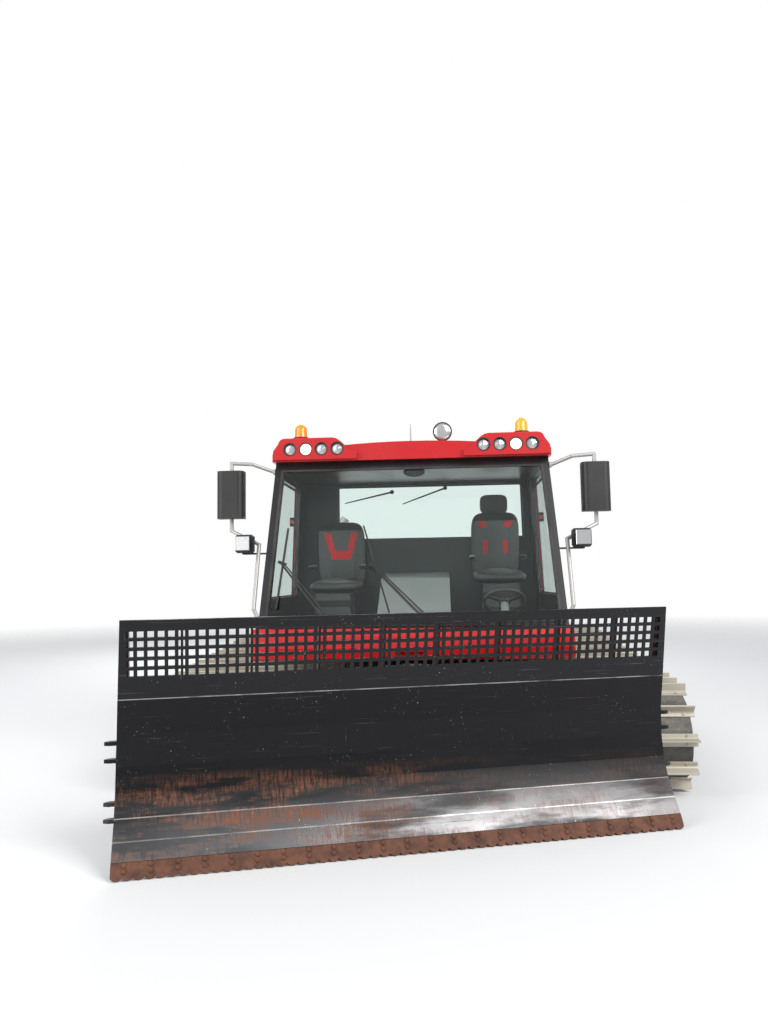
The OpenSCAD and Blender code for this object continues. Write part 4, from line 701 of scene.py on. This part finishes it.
# the screen stands above the wear, and is only scratched
screen_finish = worn_steel("black screen paint", (0.012, 0.012, 0.013), -2.0, -1.0, 0.2)
finish_nodes(screen_finish, "blade_screen")
edge_rust, rust_tree, rust_surface = surfaced("rusty wear steel", {"Roughness": 0.75, "Metallic": 0.2})
rust_cloud = noise(rust_tree, place_of(rust_tree), 14.0, 9.0, 0.7)
rust_mask = ranged(rust_tree, rust_cloud, 0.30, 0.70)
rust_colour = mixed(rust_tree, rust_mask, (0.055, 0.026, 0.018, 1), (0.20, 0.078, 0.042, 1))
rust_tree.links.new(rust_colour, rust_surface.inputs["Base Color"])
relieved(rust_tree, rust_surface, rust_cloud, 0.6, 0.004)
finish_nodes(edge_rust, "cutting_edge")
# Dome-headed bolts hold the edge to the board's foot, in two rows up its face, which leans 40 in 90 mm.
# They are laid out square to the machine, in front of the swing axis, and then turned with the board.
edge_foot = np.array((0.0, -0.33, 0.004))
edge_up = unit((0.0, 40.0, 90.0))
edge_out = np.cross((1, 0, 0), edge_up)
dome = ((0.0155, -0.001), (0.0155, 0.003), (0.013, 0.0065), (0.008, 0.009), (0.003, 0.0098))
edge_bolts = [revolved(edge_foot + (x, 0, 0) + edge_up * row, edge_out, (1, 0, 0), dome, 16)
              for x in np.linspace(-1.69, 1.69, 24) for row in (0.045, 0.078)]
points, faces = together(edge_bolts)
points = np.array(points) @ np.array(Matrix.Rotation(blade_turn, 3, "Z")).T + swing_axis
add_piece("edge_bolts", (points, faces), edge_rust, "blade", True)

# Pressure hoses
# Five hoses arch from their blocks over the push frame to its cross tube, each with crimped ferrules.
# A hose's curve is the Catmull-Rom spline through its route's points.
hose_rubber = dusted("braided hose rubber", (0.016, 0.016, 0.016), 0.5, 0.4, grain=0.6, grain_scale=500.0)
hose_r = 0.0128
port = (-2.97, 0.54)
tube_y = -2.48
tube_top = 0.6003
ferrule = ((0.019, 0.0), (0.019, 0.014), (0.0155, 0.018), (0.0165, 0.024), (0.0165, 0.052), (0.0155, 0.056))
block = ((0.021, 0.02085, 0.5), (0.021, 0.02085, 0.577), (0.0189, 0.01885, 0.58))


def spline(route):
    """The Catmull-Rom curve through the route's points, in eight steps a span."""
    held = np.vstack([2 * route[0] - route[1], route, 2 * route[-1] - route[-2]])
    t = np.linspace(0, 1, 8, endpoint=False)[:, None]
    spans = [0.5 * (2 * b + (c - a) * t + (2 * a - 5 * b + 4 * c - d) * t ** 2
                    + (3 * b - a - 3 * c + d) * t ** 3)
             for a, b, c, d in zip(held, held[1:], held[2:], held[3:])]
    return np.vstack([*spans, route[-1]])


blocks = []
for k, (x, top) in enumerate(((-0.25, 0.88), (-0.205, 0.93), (-0.16, 0.90), (0.165, 0.92), (0.215, 0.87)), 1):
    path = spline(np.array([(x, *port), (x, -2.91, 0.65), (x, -2.82, top - 0.04), (x, -2.69, top + 0.03),
                            (x, -2.54, top - 0.03), (x, tube_y, top - 0.18), (x, tube_y, tube_top)]))
    # the hose stays in one upright plane, so its section has a side along x
    normal = np.cross(unit(np.gradient(path, axis=0)), (1, 0, 0))
    turns = np.arange(16)[:, None] * math.pi / 8
    rings = path[:, None] + hose_r * (np.cos(turns) * (1, 0, 0) + np.sin(turns) * normal[:, None])
    hose = add_piece(f"hose_{k}", loft(rings), hose_rubber, "blade_lift_frame", True)
    if k == 1:
        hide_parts("hoses")
    cap = add_piece(f"hose_ferrule_{k}", revolved(path[-1], (0, 0, 1), (1, 0, 0), ferrule, 20), bolt_zinc,
                    "blade_lift_frame")
    length = float(np.linalg.norm(np.diff(path, axis=0), axis=1).sum())
    blocks.append(bevelled((x, -2.96885, 0), (1, 0, 0), (0, 1, 0), block))
add_piece("hose_blocks", together(blocks), grey_machine, "blade_lift_frame")

# Floor, light and camera
# A pale studio floor that reads as white and thins out from 9 m to 26 m, so that it has no edge against the
# sky, three broad lamps and a soft sky.
ground, ground_tree, ground_surface = surfaced(
    "pale studio floor", {"Base Color": (0.8, 0.8, 0.8, 1), "Roughness": 0.9})
away = put(ground_tree, "ShaderNodeVectorMath", {0: place_of(ground_tree)}, operation="LENGTH")
cover = ranged(ground_tree, away.outputs["Value"], 9.0, 26.0, 1.0, 0.0)
ground_tree.links.new(cover, ground_surface.inputs["Alpha"])
floor_half = 60
floor_z = -0.002
floor_mesh = bpy.data.meshes.new("floor")
floor_corners = [(x * floor_half, y * floor_half, floor_z) for x, y in ((-1, -1), (1, -1), (1, 1), (-1, 1))]
floor_mesh.from_pydata(floor_corners, [], [(0, 1, 2, 3)])
floor_mesh.materials.append(ground)
floor = bpy.data.objects.new("floor", floor_mesh)
bpy.context.collection.objects.link(floor)

sky = bpy.data.worlds.new("studio")
bpy.context.scene.world = sky
sky.use_nodes = True
sky_tree = sky.node_tree
sky_tree.nodes.clear()
rays = put(sky_tree, "ShaderNodeLightPath").outputs
lighting = put(sky_tree, "ShaderNodeBackground", {"Color": (0.92, 0.96, 1.0, 1), "Strength": 0.55}).outputs[0]
white = put(sky_tree, "ShaderNodeBackground", {"Color": (1, 1, 1, 1), "Strength": 1.0}).outputs[0]
seen = worked(sky_tree, "MAXIMUM", rays["Is Camera Ray"], rays["Is Transmission Ray"])
shown = put(sky_tree, "ShaderNodeMixShader", {0: seen, 1: lighting, 2: white}).outputs[0]
put(sky_tree, "ShaderNodeOutputWorld", {0: shown})

for label, place, size, watts in (
    ("key", (7.0, -9.0, 8.0), 6.0, 1150.0),
    ("fill", (-8.0, -8.0, 5.0), 7.0, 600.0),
    ("back", (-3.0, 10.0, 8.0), 7.0, 800.0),
):
    lamp = bpy.data.lights.new(label, "AREA")
    lamp.size = size
    lamp.energy = watts
    holder = bpy.data.objects.new(label, lamp)
    holder.location = place
    holder.rotation_euler = (Vector((0, 0, 1.0)) - Vector(place)).to_track_quat("-Z", "Y").to_euler()
    bpy.context.collection.objects.link(holder)

# eye height and tilt of a person who stands a few paces in front of the blade
eye = bpy.data.cameras.new("camera")
eye.lens = 27.5
eye.sensor_width = 36.0
camera = bpy.data.objects.new("camera", eye)
heading = Matrix.Rotation(math.radians(4.17), 4, "Z")
pitch = Matrix.Rotation(math.radians(90 + 4.94), 4, "X")
roll = Matrix.Rotation(math.radians(-0.9), 4, "Z")
camera.matrix_world = Matrix.Translation((0.26, -8.56, 1.63)) @ heading @ pitch @ roll
bpy.context.collection.objects.link(camera)
bpy.context.scene.camera = camera
bpy.context.scene.view_settings.view_transform = "Standard"
